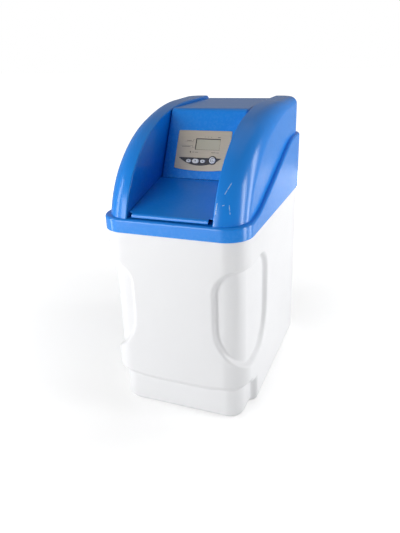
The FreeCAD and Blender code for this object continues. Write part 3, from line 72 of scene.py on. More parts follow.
class SoftenerCabinet(bpy.types.PropertyGroup):
    """Sizes of the white cabinet."""

    half_width: length("Half width", "From the middle to the side", 0.157)
    half_depth: length("Half depth", "From the middle to the front", 0.252)
    corner: length("Corner", "Radius of the upright corners", 0.05)
    height: length("Height", "From the floor to the rim", 0.4482)
    wall: length("Wall", "Thickness of the wall", 0.004)
    foot_round: length("Foot rounding", "Radius along the bottom edge", 0.014)
    recess_depth: length("Recess depth", "How deep the corner recess is", 0.011)
    recess_slope: length("Recess slope", "Width of the sloped rim of the recess", 0.0095)
    recess_left: length("Recess start", "From the middle of the front to the recess", 0.087)
    recess_foot: length("Recess foot", "Height of the lowest point of the recess", 0.1245)
    recess_top: length("Recess top", "Height of the top edge of the recess", 0.3615)
    recess_back: length("Recess back", "From the middle of the side to the rear edge of the recess", 0.075)
    plinth_inset: length("Plinth inset", "How far the plinth is drawn in", 0.014)
    plinth_back: length("Plinth back", "From the middle of the side to the plinth's end", 0.157)


class SoftenerCover(bpy.types.PropertyGroup):
    """Sizes of the blue cover, the hood and the lid."""

    half_width: length("Half width", "From the middle to the skirt's side", 0.16)
    half_depth: length("Half depth", "From the middle to the skirt's front", 0.255)
    corner: length("Corner", "Radius of the skirt's corners", 0.053)
    wall: length("Wall", "Thickness of the mouldings", 0.0025)
    skirt_foot: length("Skirt foot", "Height of the skirt's lower edge", 0.422)
    ledge: length("Ledge", "Height of the front ledge", 0.451)
    rear_top: length("Rear top", "Height of the skirt at the back", 0.558)
    wing_out: length("Wing side", "From the middle to a wing's outer face", 0.151)
    wing_in: length("Channel side", "From the middle to a wing's inner face", 0.0915)
    wing_rear: length("Wing rear", "From the middle to a wing's rear face", 0.246)
    wing_corner: length("Wing rear corner", "Radius of a wing's upright rear corner", 0.044)
    nose_round: length("Nose rounding", "Radius of a wing's outer edge at its nose", 0.056)
    tail_round: length("Tail rounding", "Radius of a wing's outer edge at its tail", 0.017)
    inner_round: length("Inner rounding", "Radius of a wing's inner edge", 0.003)
    hood_half: length("Hood half width", "From the middle to the hood's side", 0.09)
    panel_slope: angle("Panel slope", "Slope of the hood's front face", 61.7)
    lid_slope: angle("Lid slope", "Slope of the salt lid", 13.4)


class SoftenerColours(bpy.types.PropertyGroup):
    """Colours of the finishes."""

    blue: colour("Cover blue", "Moulded blue of the cover, hood and lid", (0.001, 0.235, 0.80))
    white: colour("Cabinet white", "Moulded white of the cabinet", (0.83, 0.835, 0.85))
    silver: colour("Plate silver", "Printed metal tone of the control plate", (0.53, 0.47, 0.38))
    charcoal: colour("Key band", "Dark band round the keys", (0.045, 0.045, 0.052))
    key_white: colour("Keys", "White of the keys", (0.78, 0.79, 0.80))
    display: colour("Display", "Resting tone of the display", (0.52, 0.49, 0.38))


class SoftenerStage(bpy.types.PropertyGroup):
    """Place, direction and lens of the camera."""

    lens: FloatProperty(name="Lens", description="Focal length in millimetres", default=35.51, min=1.0)
    distance: length("Camera distance", "From the camera to the point it looks at", 1.326)
    azimuth: angle("Azimuth", "How far to the right of the front the camera stands", 22.155)
    elevation: angle("Elevation", "How far above the level the camera stands", 22.85)
    roll: angle("Roll", "How far the camera leans", -1.99)


def cabinet_sizes():
    return bpy.context.scene.softener_cabinet


def cover_sizes():
    return bpy.context.scene.softener_cover


def cabinet_plan():
    sizes = cabinet_sizes()
    return sizes.half_width, sizes.half_depth, sizes.corner


def skirt_plan():
    sizes = cover_sizes()
    return sizes.half_width, sizes.half_depth, sizes.corner


# Modelling by hand: small steps that the pieces share

# Two places are the same within TOUCHING, and an edge lies along a line within NEAR. Corners closer than
# MERGE become one
TOUCHING, NEAR, MERGE = 0.000001, 0.00001, 0.00002


def clear_selection():
    """Back to object mode with nothing selected."""
    if bpy.context.mode != "OBJECT":
        bpy.ops.object.mode_set(mode="OBJECT")
    bpy.ops.object.select_all(action="DESELECT")


def take_up(piece):
    """Selects the piece and nothing else."""
    clear_selection()
    piece.select_set(True)
    bpy.context.view_layer.objects.active = piece


def name_piece(name):
    """Names the object that was made last, and its mesh."""
    piece = bpy.context.active_object
    piece.name = name
    piece.data.name = name
    return piece


def start_editing(piece):
    take_up(piece)
    bpy.ops.object.mode_set(mode="EDIT")


def select_all():
    bpy.ops.mesh.select_all(action="SELECT")


def choose(piece, kind, test):
    """Selects the corners and edges whose every place passes the test, or the faces whose middle does."""
    bpy.ops.mesh.select_mode(type=kind)
    bpy.ops.mesh.select_all(action="DESELECT")
    form = bmesh.from_edit_mesh(piece.data)
    parts = {"VERT": form.verts, "EDGE": form.edges, "FACE": form.faces}[kind]
    chosen = [part for part in parts if all(test(place) for place in places_of(part, kind))]
    for part in chosen:
        part.select_set(True)
    form.select_flush_mode()
    bmesh.update_edit_mesh(piece.data)
    if not chosen:
        raise RuntimeError("nothing to select on " + piece.name)


def places_of(part, kind):
    """A corner's place, an edge's ends and middle, or a face's middle."""
    if kind == "VERT":
        return [part.co]
    if kind == "FACE":
        return [part.calc_center_median()]
    first, last = (corner.co for corner in part.verts)
    return [first, last, (first + last) / 2]


def move_chosen(piece, place):
    """Moves the selected corners to where place puts them."""
    form = bmesh.from_edit_mesh(piece.data)
    for corner in form.verts:
        if corner.select:
            corner.co = place(corner.co)
    bmesh.update_edit_mesh(piece.data)


def extrude(x, y, z):
    bpy.ops.mesh.extrude_region_move(TRANSFORM_OT_translate={"value": (x, y, z)})


def divide_at(place, normal, **settings):
    """Gives the piece new edges where a plane crosses it."""
    select_all()
    bpy.ops.mesh.bisect(plane_co=place, plane_no=normal, **settings)


def split_edges(piece, cuts, test):
    """Divides the edges that lie in a place."""
    choose(piece, "EDGE", test)
    bpy.ops.mesh.subdivide(number_cuts=cuts)


def tidy_normals(piece):
    """Merges doubled corners and turns every face outwards."""
    start_editing(piece)
    select_all()
    bpy.ops.mesh.remove_doubles(threshold=MERGE)
    bpy.ops.mesh.normals_make_consistent(inside=False)
    clear_selection()


def finish_with(piece, kind, **settings):
    """Adds a modifier, sets it and applies it."""
    take_up(piece)
    modifier = piece.modifiers.new(kind.title(), kind)
    for key, value in settings.items():
        setattr(modifier, key, value)
    bpy.ops.object.modifier_apply(modifier=modifier.name)


def give_wall(piece, thickness):
    """Turns a moulding's outer surface into a wall, inwards."""
    finish_with(piece, "SOLIDIFY", thickness=thickness, offset=-1, use_even_offset=True)


def smooth(piece, degrees, weighted=True):
    """Smooth shading up to an angle; large flat faces keep their normal."""
    take_up(piece)
    bpy.ops.object.shade_smooth_by_angle(angle=math.radians(degrees))
    if weighted:
        finish_with(piece, "WEIGHTED_NORMAL", keep_sharp=True, weight=60)


def settle(piece):
    """Puts the piece's place and turn into its mesh."""
    take_up(piece)
    bpy.ops.object.transform_apply(location=True, rotation=True, scale=True)


def join(name, pieces):
    clear_selection()
    for piece in pieces:
        piece.select_set(True)
    bpy.context.view_layer.objects.active = pieces[0]
    bpy.ops.object.join()
    return name_piece(name)


def mirrored_copy(piece, name):
    """A copy on the other side, with its own mesh."""
    take_up(piece)
    bpy.ops.object.duplicate()
    copy = name_piece(name)
    start_editing(copy)
    select_all()
    bpy.ops.transform.resize(value=(-1, 1, 1), center_override=(0, 0, 0))
    bpy.ops.mesh.flip_normals()
    clear_selection()
    return copy


def rounded_block(name, x, y, z):
    """A box between two corners with its edges rounded."""
    clear_selection()
    middle = [(low + high) / 2 for low, high in (x, y, z)]
    bpy.ops.mesh.primitive_cube_add(size=1, location=middle)
    block = name_piece(name)
    block.scale = [high - low for low, high in (x, y, z)]
    settle(block)
    start_editing(block)
    select_all()
    bpy.ops.mesh.bevel(offset=0.0008, segments=2, affect="EDGES")
    clear_selection()
    return block


def carve(piece, *tools):
    """Takes the tools away from the piece and removes them."""
    for tool in tools:
        finish_with(piece, "BOOLEAN", operation="DIFFERENCE", object=tool, solver="EXACT")
        bpy.data.objects.remove(tool)


def cut_round_hole(piece, middle, radius):
    """A round hole through a rear wall, square to it."""
    clear_selection()
    bpy.ops.mesh.primitive_cylinder_add(vertices=40, radius=radius, depth=0.03, location=middle,
                                        rotation=(math.pi / 2, 0, 0))
    drill = name_piece("drill")
    settle(drill)
    carve(piece, drill)


def plan_inset(place, plan, inset):
    """A point of a rounded plan (half width, half depth, corner), moved in square to its outline."""
    half_x, half_y, corner = plan
    middle = Vector((min(max(place.x, corner - half_x), half_x - corner),
                     min(max(place.y, corner - half_y), half_y - corner)))
    away = Vector((place.x, place.y)) - middle
    return middle + away.normalized() * (away.length - inset) if away.length > TOUCHING else middle


def rounded_plan(name, plan, segments, height):
    """A closed outline with round corners, as edges in edit mode."""
    half_x, half_y, corner = plan
    clear_selection()
    bpy.ops.mesh.primitive_plane_add(size=2, location=(0, 0, height))
    outline = name_piece(name)
    outline.scale = (half_x, half_y, 1)
    settle(outline)
    start_editing(outline)
    select_all()
    bpy.ops.mesh.bevel(offset=corner, segments=segments, affect="VERTICES", clamp_overlap=False)
    select_all()
    bpy.ops.mesh.delete(type="ONLY_FACE")
    return outline


def ease(value):
    """A smooth climb from 0 to 1."""
    value = min(max(value, 0.0), 1.0)
    return value * value * (3 - 2 * value)


def sided(side, low, high):
    """A stretch across the part on the right (1), or its mirror image on the left (-1)."""
    return (low, high) if side > 0 else (-high, -low)


def wear(body, piece, slot, *nodes):
    """The finished piece takes its slot's finish, rides on its body and stands for its CAD nodes."""
    dress(piece, finish(slot))
    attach(piece, body)
    if nodes:
        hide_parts(*nodes)


# Cabinet. A run is a distance along its outline from the middle of the front, the same on both sides

# Rows of the wall: up to a height in so many equal rows, close together where the wall is shaped
WALL_ROWS = (
    (0.0006, 1), (0.0018, 1), (0.0036, 1), (0.006, 1), (0.0095, 1), (0.014, 1), (0.028, 1), (0.046, 1),
    (0.0973, 27), (0.112, 1), (0.1235, 1), (0.2067, 32), (0.298, 11), (0.363, 26), (0.39, 1), (0.42, 1),
)

# Nearer the corner than these, the edges of the plan are divided again, for the recess
SHAPED_X, SHAPED_Y = 0.082, -0.045

# Rounding of the recess's corners, across and up
TOP_ROUND, FRONT_FOOT_ROUND, SIDE_FOOT_ROUND = (0.057, 0.057), (0.131, 0.101), (0.078, 0.101)

# The plinth stands upright to PLINTH_TOP, which changes along the run by (change, from, over), and slopes
# out over PLINTH_SLOPE. It fades out over PLINTH_FADE at its end
PLINTH_TOP, PLINTH_SLOPE, PLINTH_FADE = 0.070, 0.019, 0.014
PLINTH_CHANGES = ((0.006, 0.06, 0.06), (-0.018, 0.185, 0.035))

OVERFLOW_X, OVERFLOW_Z, OVERFLOW_RADIUS = -0.092, 0.396, 0.0092


def side_run(y):
    """The run of a place on the straight of the side."""
    half_x, half_y, corner = cabinet_plan()
    return half_x - corner + corner * math.pi / 2 + y - (corner - half_y)


def run_of(place):
    """The run of any place on the wall; the back wall counts as far away."""
    half_x, half_y, corner = cabinet_plan()
    x, y, corner_y = abs(place.x), place.y, corner - half_y
    if y <= corner_y:
        around = corner * math.atan2(x - half_x + corner, corner_y - y)
        return x if x <= half_x - corner + TOUCHING else half_x - corner + around
    return side_run(y) if x >= half_x - 0.02 else 1.0


def recess_inset(run, z):
    """How far the corner recess takes the wall in: a level floor, a sloped rim and elliptic corners."""
    sizes = cabinet_sizes()
    left, right = sizes.recess_left, side_run(-sizes.recess_back)
    low, high = sizes.recess_foot, sizes.recess_top
    if not (left < run < right and low < z < high):
        return 0.0
    across, up = FRONT_FOOT_ROUND if run < (left + right) / 2 else SIDE_FOOT_ROUND
    if z > (low + high) / 2:
        across, up = TOP_ROUND
    near_side = min(run - left, right - run)
    near_end = min(z - low, high - z)
    from_rim = min(near_side, near_end)
    if near_side < across and near_end < up:
        u, v = (across - near_side) / across, (up - near_end) / up
        reach = math.hypot(u, v)
        if reach > TOUCHING:
            from_rim = (1 - reach) * reach / math.hypot(u / across, v / up)
    return sizes.recess_depth * ease(from_rim / sizes.recess_slope)


def plinth_inset(run, z):
    """How far the plinth takes the wall in: upright, then rounded out to the full width."""
    sizes = cabinet_sizes()
    top = PLINTH_TOP + sum(change * ease((run - start) / over) for change, start, over in PLINTH_CHANGES)
    climb = min(max((z - top) / PLINTH_SLOPE, 0.0), 1.0)
    past_end = run - side_run(-sizes.plinth_back) + PLINTH_FADE / 2
    return sizes.plinth_inset * (1 - math.sin(math.pi / 2 * climb)) * (1 - ease(past_end / PLINTH_FADE))


def foot_inset(z):
    """How far the rounded bottom edge takes the wall in."""
    radius = cabinet_sizes().foot_round
    return radius - math.sqrt(max(radius ** 2 - (radius - z) ** 2, 0.0)) if z < radius else 0.0


def wall_point(place):
    """A place on the straight-walled cabinet, taken in by recess, plinth and foot."""
    run = run_of(place)
    inset = recess_inset(run, place.z) + plinth_inset(run, place.z) + foot_inset(place.z)
    return Vector((*plan_inset(place, cabinet_plan(), inset), place.z))


class SOFTENER_OT_cabinet(bpy.types.Operator):
    """Build the white cabinet with its corner recesses and drawn-in plinth"""

    bl_idname = "softener.cabinet"
    bl_label = "Cabinet"

    def execute(self, context):
        sizes = cabinet_sizes()
        straight_x, straight_y = sizes.half_width - sizes.corner, sizes.half_depth - sizes.corner

        def on_front(place):
            return place.y < NEAR - sizes.half_depth and abs(place.x) < straight_x + NEAR

        def on_side(place):
            return abs(place.x) > sizes.half_width - NEAR and abs(place.y) < straight_y + NEAR

        cabinet = rounded_plan("cabinet_shell", cabinet_plan(), 24, 0)
        split_edges(cabinet, 8, on_front)
        split_edges(cabinet, 12, on_side)
        split_edges(cabinet, 8, lambda place: on_front(place) and abs(place.x) > SHAPED_X)
        split_edges(cabinet, 11, lambda place: on_side(place) and place.y < SHAPED_Y)
        split_edges(cabinet, 10, lambda place: place.y > sizes.half_depth - NEAR)
        select_all()
        height = 0.0
        for top, rows in (*WALL_ROWS, (sizes.height, 1)):
            for row in range(rows):
                extrude(0, 0, (top - height) / rows)
            height = top
        select_all()
        move_chosen(cabinet, wall_point)
        choose(cabinet, "EDGE", lambda place: place.z < TOUCHING)
        bpy.ops.mesh.edge_face_add()
        tidy_normals(cabinet)
        finish_with(cabinet, "SOLIDIFY", thickness=sizes.wall, offset=-1)
        cut_round_hole(cabinet, (OVERFLOW_X, sizes.half_depth, OVERFLOW_Z), OVERFLOW_RADIUS)
        smooth(cabinet, 50, weighted=False)
        wear("cabinet", cabinet, "white_satin", "cabinet")
        return {"FINISHED"}


# Cover: skirt with the band that climbs to the back

# Side view of the skirt's top edge: level up to CLIMB_START, a hollow arc, a straight climb, a crest arc,
# and level again from CLIMB_END
CLIMB_START, CLIMB_END, CLIMB_SLOPE = -0.2045, 0.175, math.radians(20.4)
HOLLOW, CREST = 0.271, 0.239

# Rounding of the skirt's lower edge and of the band's lip, and how far the ledge reaches in
SKIRT_EDGE, LIP, LEDGE_REACH = 0.0006, 0.0052, 0.0125

# Notch for the pipes in the rear of the skirt
NOTCH_HALF, NOTCH_TOP = 0.072, 0.548


def band_height(y):
    """Height of the skirt's top edge at a distance behind the middle."""
    sizes = cover_sizes()
    hollow_end = CLIMB_START + HOLLOW * math.sin(CLIMB_SLOPE)
    crest_start = CLIMB_END - CREST * math.sin(CLIMB_SLOPE)
    if y <= CLIMB_START:
        return sizes.ledge
    if y <= hollow_end:
        return sizes.ledge + HOLLOW - math.sqrt(HOLLOW ** 2 - (y - CLIMB_START) ** 2)
    if y >= CLIMB_END:
        return sizes.rear_top
    if y >= crest_start:
        return sizes.rear_top - CREST + math.sqrt(CREST ** 2 - (y - CLIMB_END) ** 2)
    low = sizes.ledge + HOLLOW * (1 - math.cos(CLIMB_SLOPE))
    high = sizes.rear_top - CREST * (1 - math.cos(CLIMB_SLOPE))
    return low + (high - low) * (y - hollow_end) / (crest_start - hollow_end)


def next_row(skirt, inset_before, inset, height):
    """Extrudes the skirt's last row and puts it at its own inset and at the height of each place."""
    half_x, half_y, corner = skirt_plan()
    before = (half_x - inset_before, half_y - inset_before, max(corner - inset_before, 0.001))
    extrude(0, 0, 0.001)

    def row_place(place):
        flat = plan_inset(place, before, inset - inset_before)
        return Vector((flat.x, flat.y, height(flat.y)))

    move_chosen(skirt, row_place)


class SOFTENER_OT_skirt(bpy.types.Operator):
    """Build the cover's skirt, its ledge and the notch for the pipes"""

    bl_idname = "softener.skirt"
    bl_label = "Cover skirt"

    def execute(self, context):
        sizes = cover_sizes()
        straight = sizes.half_depth - sizes.corner
        foot = sizes.skirt_foot
        skirt = rounded_plan("cover_skirt", skirt_plan(), 18, foot)
        split_edges(skirt, 38, lambda place: abs(place.x) > sizes.half_width - NEAR
                    and abs(place.y) < straight + NEAR)
        split_edges(skirt, 3, lambda place: abs(place.y) > sizes.half_depth - NEAR)
        select_all()
        move_chosen(skirt, lambda place: Vector((*plan_inset(place, skirt_plan(), SKIRT_EDGE), foot)))
        next_row(skirt, SKIRT_EDGE, 0.0, lambda y: foot + SKIRT_EDGE)
        rows = [(0.0, -LIP)]
        rows += [(LIP * (1 - math.cos(turn)), -LIP * (1 - math.sin(turn)))
                 for turn in (0.25, 0.5, 0.75, 1.0, 1.25, math.pi / 2)]
        rows += [(LEDGE_REACH, 0.0)]
        inset_before = 0.0
        for inset, rise in rows:
            next_row(skirt, inset_before, inset, lambda y: band_height(y) + rise)
            inset_before = inset
        for x in (-NOTCH_HALF, NOTCH_HALF):
            divide_at((x, 0, 0), (1, 0, 0))
        divide_at((0, 0, NOTCH_TOP), (0, 0, 1))
        choose(skirt, "FACE", lambda place: place.y > sizes.half_depth - 0.005
               and abs(place.x) < NOTCH_HALF and place.z < NOTCH_TOP)
        bpy.ops.mesh.delete(type="FACE")
        tidy_normals(skirt)
        give_wall(skirt, sizes.wall)
        smooth(skirt, 40)
        wear("cover", skirt, "blue_gloss", "cover")
        return {"FINISHED"}


# Cover: wings

# Side view of a wing's top edge: straight from the height WING_FOOT to WING_START (y, z), then arcs that
# follow on, as (radius, first slope, last slope, steps, rounding of the outer edge at the end). A wing's
# side is drawn down to WING_LOW and then cut off under the ledge
WING_FOOT, WING_START, WING_LOW = 0.43, (-0.247, 0.458), 0.40
WING_ARCS = (
    (0.2205, 72.4, 44.0, 18, 0.049),
    (0.3067, 44.0, 13.2, 20, 0.042),
    (0.643, 13.2, 0.0, 14, 0.024),
)

# Rounding along a wing's top rear edge, and the steps of each rounding
REAR_ROUND, ROUND_STEPS = 0.022, 14

# The lid's hinge: its place (y, z), and across the part the hole in the right wing, the lid's boss and the
# lid's pin in it, each from and to
HINGE = (-0.092, 0.491)
PIN_HOLE, PIN_HOLE_RADIUS = (0.09, 0.098), 0.00256
BOSS, BOSS_RADIUS = (0.080, 0.0907), 0.0046
PIN, PIN_RADIUS = (0.0805, 0.0955), 0.0025


def wing_spine():
    """A wing's top edge from below the ledge to the start of the rear corner: (y, z, slope, rounding)."""
    sizes = cover_sizes()
    y, z = WING_START
    first = math.radians(WING_ARCS[0][1])
    points = [(y - (z - WING_FOOT) / math.tan(first), WING_FOOT, first)]
    marks = [(0, sizes.nose_round), (1, sizes.nose_round)]
    for radius, first, last, steps, rounding in WING_ARCS:
        first, last = math.radians(first), math.radians(last)
        middle_y, middle_z = y + radius * math.sin(first), z - radius * math.cos(first)
        for step in range(steps):
            slope = first + (last - first) * step / steps
            points.append((middle_y - radius * math.sin(slope), middle_z + radius * math.cos(slope), slope))
        y, z = middle_y - radius * math.sin(last), middle_z + radius * math.cos(last)
        marks.append((len(points), rounding))
    rear = sizes.wing_rear - sizes.wing_corner
    points += [(y + (rear - y) * step / 5, z, 0.0) for step in range(6)]
    marks.append((len(points) - 1, sizes.tail_round + 0.001))
    run = [0.0]
    for before, after in zip(points, points[1:]):
        run.append(run[-1] + math.hypot(after[0] - before[0], after[1] - before[1]))
    spine = []
    for number, point in enumerate(points):
        before = max(mark for mark in marks if mark[0] <= number)
        after = min(mark for mark in marks if mark[0] >= number)
        reach = run[after[0]] - run[before[0]]
        part = (run[number] - run[before[0]]) / reach if reach > 0 else 0.0
        spine.append((*point, before[1] + (after[1] - before[1]) * part))
    return spine


def wing_height(y):
    """Height of the wing's top edge at a distance behind the middle."""
    spine = wing_spine()
    for before, after in zip(spine, spine[1:]):
        if before[0] <= y <= after[0]:
            return before[1] + (after[1] - before[1]) * (y - before[0]) / (after[0] - before[0])
    return spine[-1][1] if y > spine[-1][0] else spine[0][1]


def wing_chain():
    """Along the wing's outer top edge: (place, inward along the top, down the side, rounding)."""
    sizes = cover_sizes()
    chain = []
    for y, z, slope, rounding in wing_spine():
        down = Vector((0, math.sin(slope), -math.cos(slope)))
        chain.append((Vector((sizes.wing_out, y, z)), Vector((-1, 0, 0)), down, rounding))
    edge, rounding = chain[-1][0], chain[-1][3]
    centre = edge - Vector((sizes.wing_corner, 0, 0))
    down = Vector((0, 0, -1))
    for step in range(1, 13):
        turn = math.pi / 2 * step / 12
        outward = Vector((math.cos(turn), math.sin(turn), 0))
        chain.append((centre + outward * sizes.wing_corner, -outward, down,
                      rounding + (REAR_ROUND - rounding) * math.sin(turn)))
    chain.append((Vector((sizes.wing_in, sizes.wing_rear, edge.z)), Vector((0, -1, 0)), down, REAR_ROUND))
    return chain


def hinge_rod(name, across, radius, bevel=0.0006, sides=32):
    """A round bar on the lid's hinge between two places across the part, its ends rounded."""
    clear_selection()
    low, high = across
    bpy.ops.mesh.primitive_cylinder_add(vertices=sides, radius=radius, depth=high - low,
                                        location=((low + high) / 2, *HINGE), rotation=(0, math.pi / 2, 0))
    rod = name_piece(name)
    settle(rod)
    start_editing(rod)
    for end in across:
        choose(rod, "EDGE", lambda place: abs(place.x - end) < NEAR)
        bpy.ops.mesh.bevel(offset=bevel, segments=2, affect="EDGES")
    clear_selection()
    return rod


class SOFTENER_OT_wings(bpy.types.Operator):
    """Build the cover's two wings, whose outer edge narrows to the back"""

    bl_idname = "softener.wings"
    bl_label = "Cover wings"

    def execute(self, context):
        sizes = cover_sizes()
        chain = wing_chain()
        columns, rows = ROUND_STEPS + 1, len(chain) - 1
        clear_selection()
        bpy.ops.mesh.primitive_grid_add(x_subdivisions=columns, y_subdivisions=rows, size=2)
        wing = name_piece("cover_wing_right")
        start_editing(wing)
        select_all()

        def on_wing(place):
            column = round((place.x + 1) / 2 * columns)
            edge, inward, down, rounding = chain[round((place.y + 1) / 2 * rows)]
            turn = math.pi / 2 * min(column, ROUND_STEPS) / ROUND_STEPS
            point = edge + inward * rounding * (1 - math.sin(turn)) + down * rounding * (1 - math.cos(turn))
            return point if column <= ROUND_STEPS else Vector((point.x, point.y, WING_LOW))

        move_chosen(wing, on_wing)
        crest = [edge + inward * rounding for edge, inward, down, rounding in chain[:-1]]
        choose(wing, "VERT", lambda place: any((place - point).length < TOUCHING for point in crest))
        extrude(0, 0, 0)
        move_chosen(wing, lambda place: Vector((sizes.wing_in, place.y, place.z)))
        select_all()
        bpy.ops.mesh.remove_doubles(threshold=MERGE)

        def in_channel(place):
            return abs(place.x - sizes.wing_in) < TOUCHING

        choose(wing, "VERT", in_channel)
        bpy.ops.mesh.edge_face_add()
        select_all()
        bpy.ops.mesh.normals_make_consistent(inside=False)
        divide_at((0, 0, sizes.ledge - sizes.wall), (0, 0, 1), clear_inner=True)
        # The inner edge to round: the crest, and behind it the start of the rear edge
        rear_y = sizes.wing_rear - REAR_ROUND - 0.0001
        choose(wing, "EDGE", lambda place: in_channel(place) and (
            place.z > wing_height(place.y) - 0.0004 or place.y > rear_y and place.z > HOOD_REAR_FOOT))
        bpy.ops.mesh.bevel(offset=sizes.inner_round, segments=3, affect="EDGES", clamp_overlap=False)
        tidy_normals(wing)
        give_wall(wing, sizes.wall)
        carve(wing, hinge_rod("pin_hole", PIN_HOLE, PIN_HOLE_RADIUS, 0.0001, 24))
        for piece in (wing, mirrored_copy(wing, "cover_wing_left")):
            smooth(piece, 40)
            wear("cover", piece, "blue_gloss", "cover")
        return {"FINISHED"}


# Hood and lid, which follow a side view

# Foot of the hood's sloping face (y, z), the height of its top and of its rear edge, and its roundings
PANEL_FOOT, HOOD_TOP, HOOD_REAR_FOOT = (-0.0826, 0.4984), 0.6385, 0.6
HOOD_FRONT_ROUND, HOOD_REAR_ROUND, HOOD_SIDE_ROUND = 0.014, 0.020, 0.006

# Rear edge of the lid's plate (y, z) and how far it runs to the front; then the foot of its front flange,
# the rounding of its nose with the drop from the nose to the arc's start, and the corners cut out of it
LID_REAR, LID_RUN = (-0.084, 0.498), 0.156
LID_FOOT, LID_NOSE_ROUND, LID_NOSE_DROP = (-0.2452, 0.4533), 0.0056, 0.005
LID_CORNER_X, LID_CORNER_Y = 0.082, -0.236


def ribbon(name, half, start, moves):
    """A sheet across the middle that follows a side view from its start (y, z, slope).

    Each move is ("run", length) straight on, or ("turn", radius, angle) round an arc to the back and down.
    """
    clear_selection()
    bpy.ops.mesh.primitive_plane_add(size=1)
    sheet = name_piece(name)
    y, z, slope = start
    start_editing(sheet)
    choose(sheet, "EDGE", lambda place: place.y > 0)
    bpy.ops.mesh.select_all(action="INVERT")
    bpy.ops.mesh.delete(type="EDGE")
    select_all()
    move_chosen(sheet, lambda place: Vector((half if place.x > 0 else -half, y, z)))
    for kind, amount, *turn in moves:
        if kind == "run":
            step_y, step_z = amount * math.cos(slope), amount * math.sin(slope)
            extrude(0, step_y, step_z)
            y, z = y + step_y, z + step_z
        else:
            middle_y, middle_z = y + amount * math.sin(slope), z - amount * math.cos(slope)
            steps = max(3, round(turn[0] / math.radians(8)))
            bpy.ops.mesh.spin(steps=steps, angle=turn[0], center=(0, middle_y, middle_z), axis=(1, 0, 0),
                              use_auto_merge=False)
            slope -= turn[0]
            y, z = middle_y - amount * math.sin(slope), middle_z + amount * math.cos(slope)
    clear_selection()
    return sheet


class SOFTENER_OT_hood(bpy.types.Operator):
    """Build the hood over the valve with its sloping face and the seat of the control plate"""

    bl_idname = "softener.hood"
    bl_label = "Hood"

    def execute(self, context):
        sizes = cover_sizes()
        slope, half = sizes.panel_slope, sizes.hood_half
        foot_y, foot_z = PANEL_FOOT
        reach = HOOD_FRONT_ROUND * (1 - math.cos(slope)) / math.sin(slope)
        climb = (HOOD_TOP - foot_z) / math.sin(slope)
        knee_y = foot_y + climb * math.cos(slope)
        hood = ribbon("hood_shell", half, (foot_y, foot_z, slope), [
            ("run", climb - reach),
            ("turn", HOOD_FRONT_ROUND, slope),
            ("run", sizes.wing_rear - HOOD_REAR_ROUND - knee_y - reach),
            ("turn", HOOD_REAR_ROUND, math.pi / 2),
            ("run", HOOD_TOP - HOOD_REAR_ROUND - HOOD_REAR_FOOT),
        ])
        start_editing(hood)
        for side in (-1, 1):
            choose(hood, "VERT", lambda place: place.x * side > 0)
            bpy.ops.mesh.edge_face_add()
        tidy_normals(hood)
        start_editing(hood)
        open_foot = Vector(((foot_y + sizes.wing_rear) / 2, (foot_z + HOOD_REAR_FOOT) / 2))
        choose(hood, "EDGE", lambda place: abs(abs(place.x) - half) < TOUCHING
               and (place.yz - open_foot).length > 0.01)
        bpy.ops.mesh.bevel(offset=HOOD_SIDE_ROUND, segments=5, affect="EDGES", clamp_overlap=False)
        tidy_normals(hood)
        give_wall(hood, sizes.wall)
        carve(hood, lay_on_panel(slab("plate_hole", plate_points(0.0004), -0.008, 0.006)))
        smooth(hood, 40)
        wear("cover", hood, "blue_gloss", "hood")
        return {"FINISHED"}


class SOFTENER_OT_lid(bpy.types.Operator):
    """Build the salt lid with its rolled front edge and its hinge pins"""

    bl_idname = "softener.lid"
    bl_label = "Salt lid"

    def execute(self, context):
        sizes = cover_sizes()
        slope = sizes.lid_slope
        foot_y, foot_z = LID_FOOT
        nose_z = LID_REAR[1] - LID_RUN * math.tan(slope)
        lid = ribbon("lid_plate", sizes.wing_in - 0.0008, (foot_y, foot_z, math.pi / 2), [
            ("run", nose_z - LID_NOSE_DROP - foot_z),
            ("turn", LID_NOSE_ROUND, math.pi / 2 - slope),
            ("run", LID_RUN / math.cos(slope)),
        ])
        start_editing(lid)
        for x in (-LID_CORNER_X, LID_CORNER_X):
            divide_at((x, 0, 0), (1, 0, 0))
        divide_at((0, LID_CORNER_Y, 0), (0, 1, 0))
        choose(lid, "FACE", lambda place: abs(place.x) > LID_CORNER_X and place.y < LID_CORNER_Y)
        bpy.ops.mesh.delete(type="FACE")
        tidy_normals(lid)
        give_wall(lid, sizes.wall)
        finish_with(lid, "BEVEL", width=0.0007, segments=2, limit_method="ANGLE",
                    angle_limit=math.radians(50))
        parts = [lid]
        for side in (-1, 1):
            parts.append(hinge_rod("lid_boss", sided(side, *BOSS), BOSS_RADIUS))
            parts.append(hinge_rod("lid_pin", sided(side, *PIN), PIN_RADIUS, 0.0004, 24))
        lid = join("lid_plate", parts)
        smooth(lid, 40)
        wear("lid", lid, "blue_gloss", "salt_lid")
        return {"FINISHED"}


# Channel between the wings

# Half widths of the channel and of the filling mouth in its floor, the back wall (y from and to), the top of
# the rails under the lid, and the rests under the hood's sides, which climb to the back
CHANNEL_HALF, MOUTH_HALF, REAR_WALL, RAIL_TOP = 0.093, 0.075, (0.2407, 0.2432), 0.4872
REST_START, REST_SLOPE = -0.07, 0.3119

# Ribs that hold the wings to the skirt, and the two screw holes at the back
RIB_PLACES, RIB_WIDTH = (-0.09, 0.02, 0.13), 0.003
SCREW_X, SCREW_Z, SCREW_RADIUS = 0.06, 0.612, 0.0019


def lid_under(y):
    """Height just under the lid's plate at a distance behind the middle."""
    slope = cover_sizes().lid_slope
    return LID_REAR[1] + (y - LID_REAR[0]) * math.tan(slope) - 0.0028 / math.cos(slope)


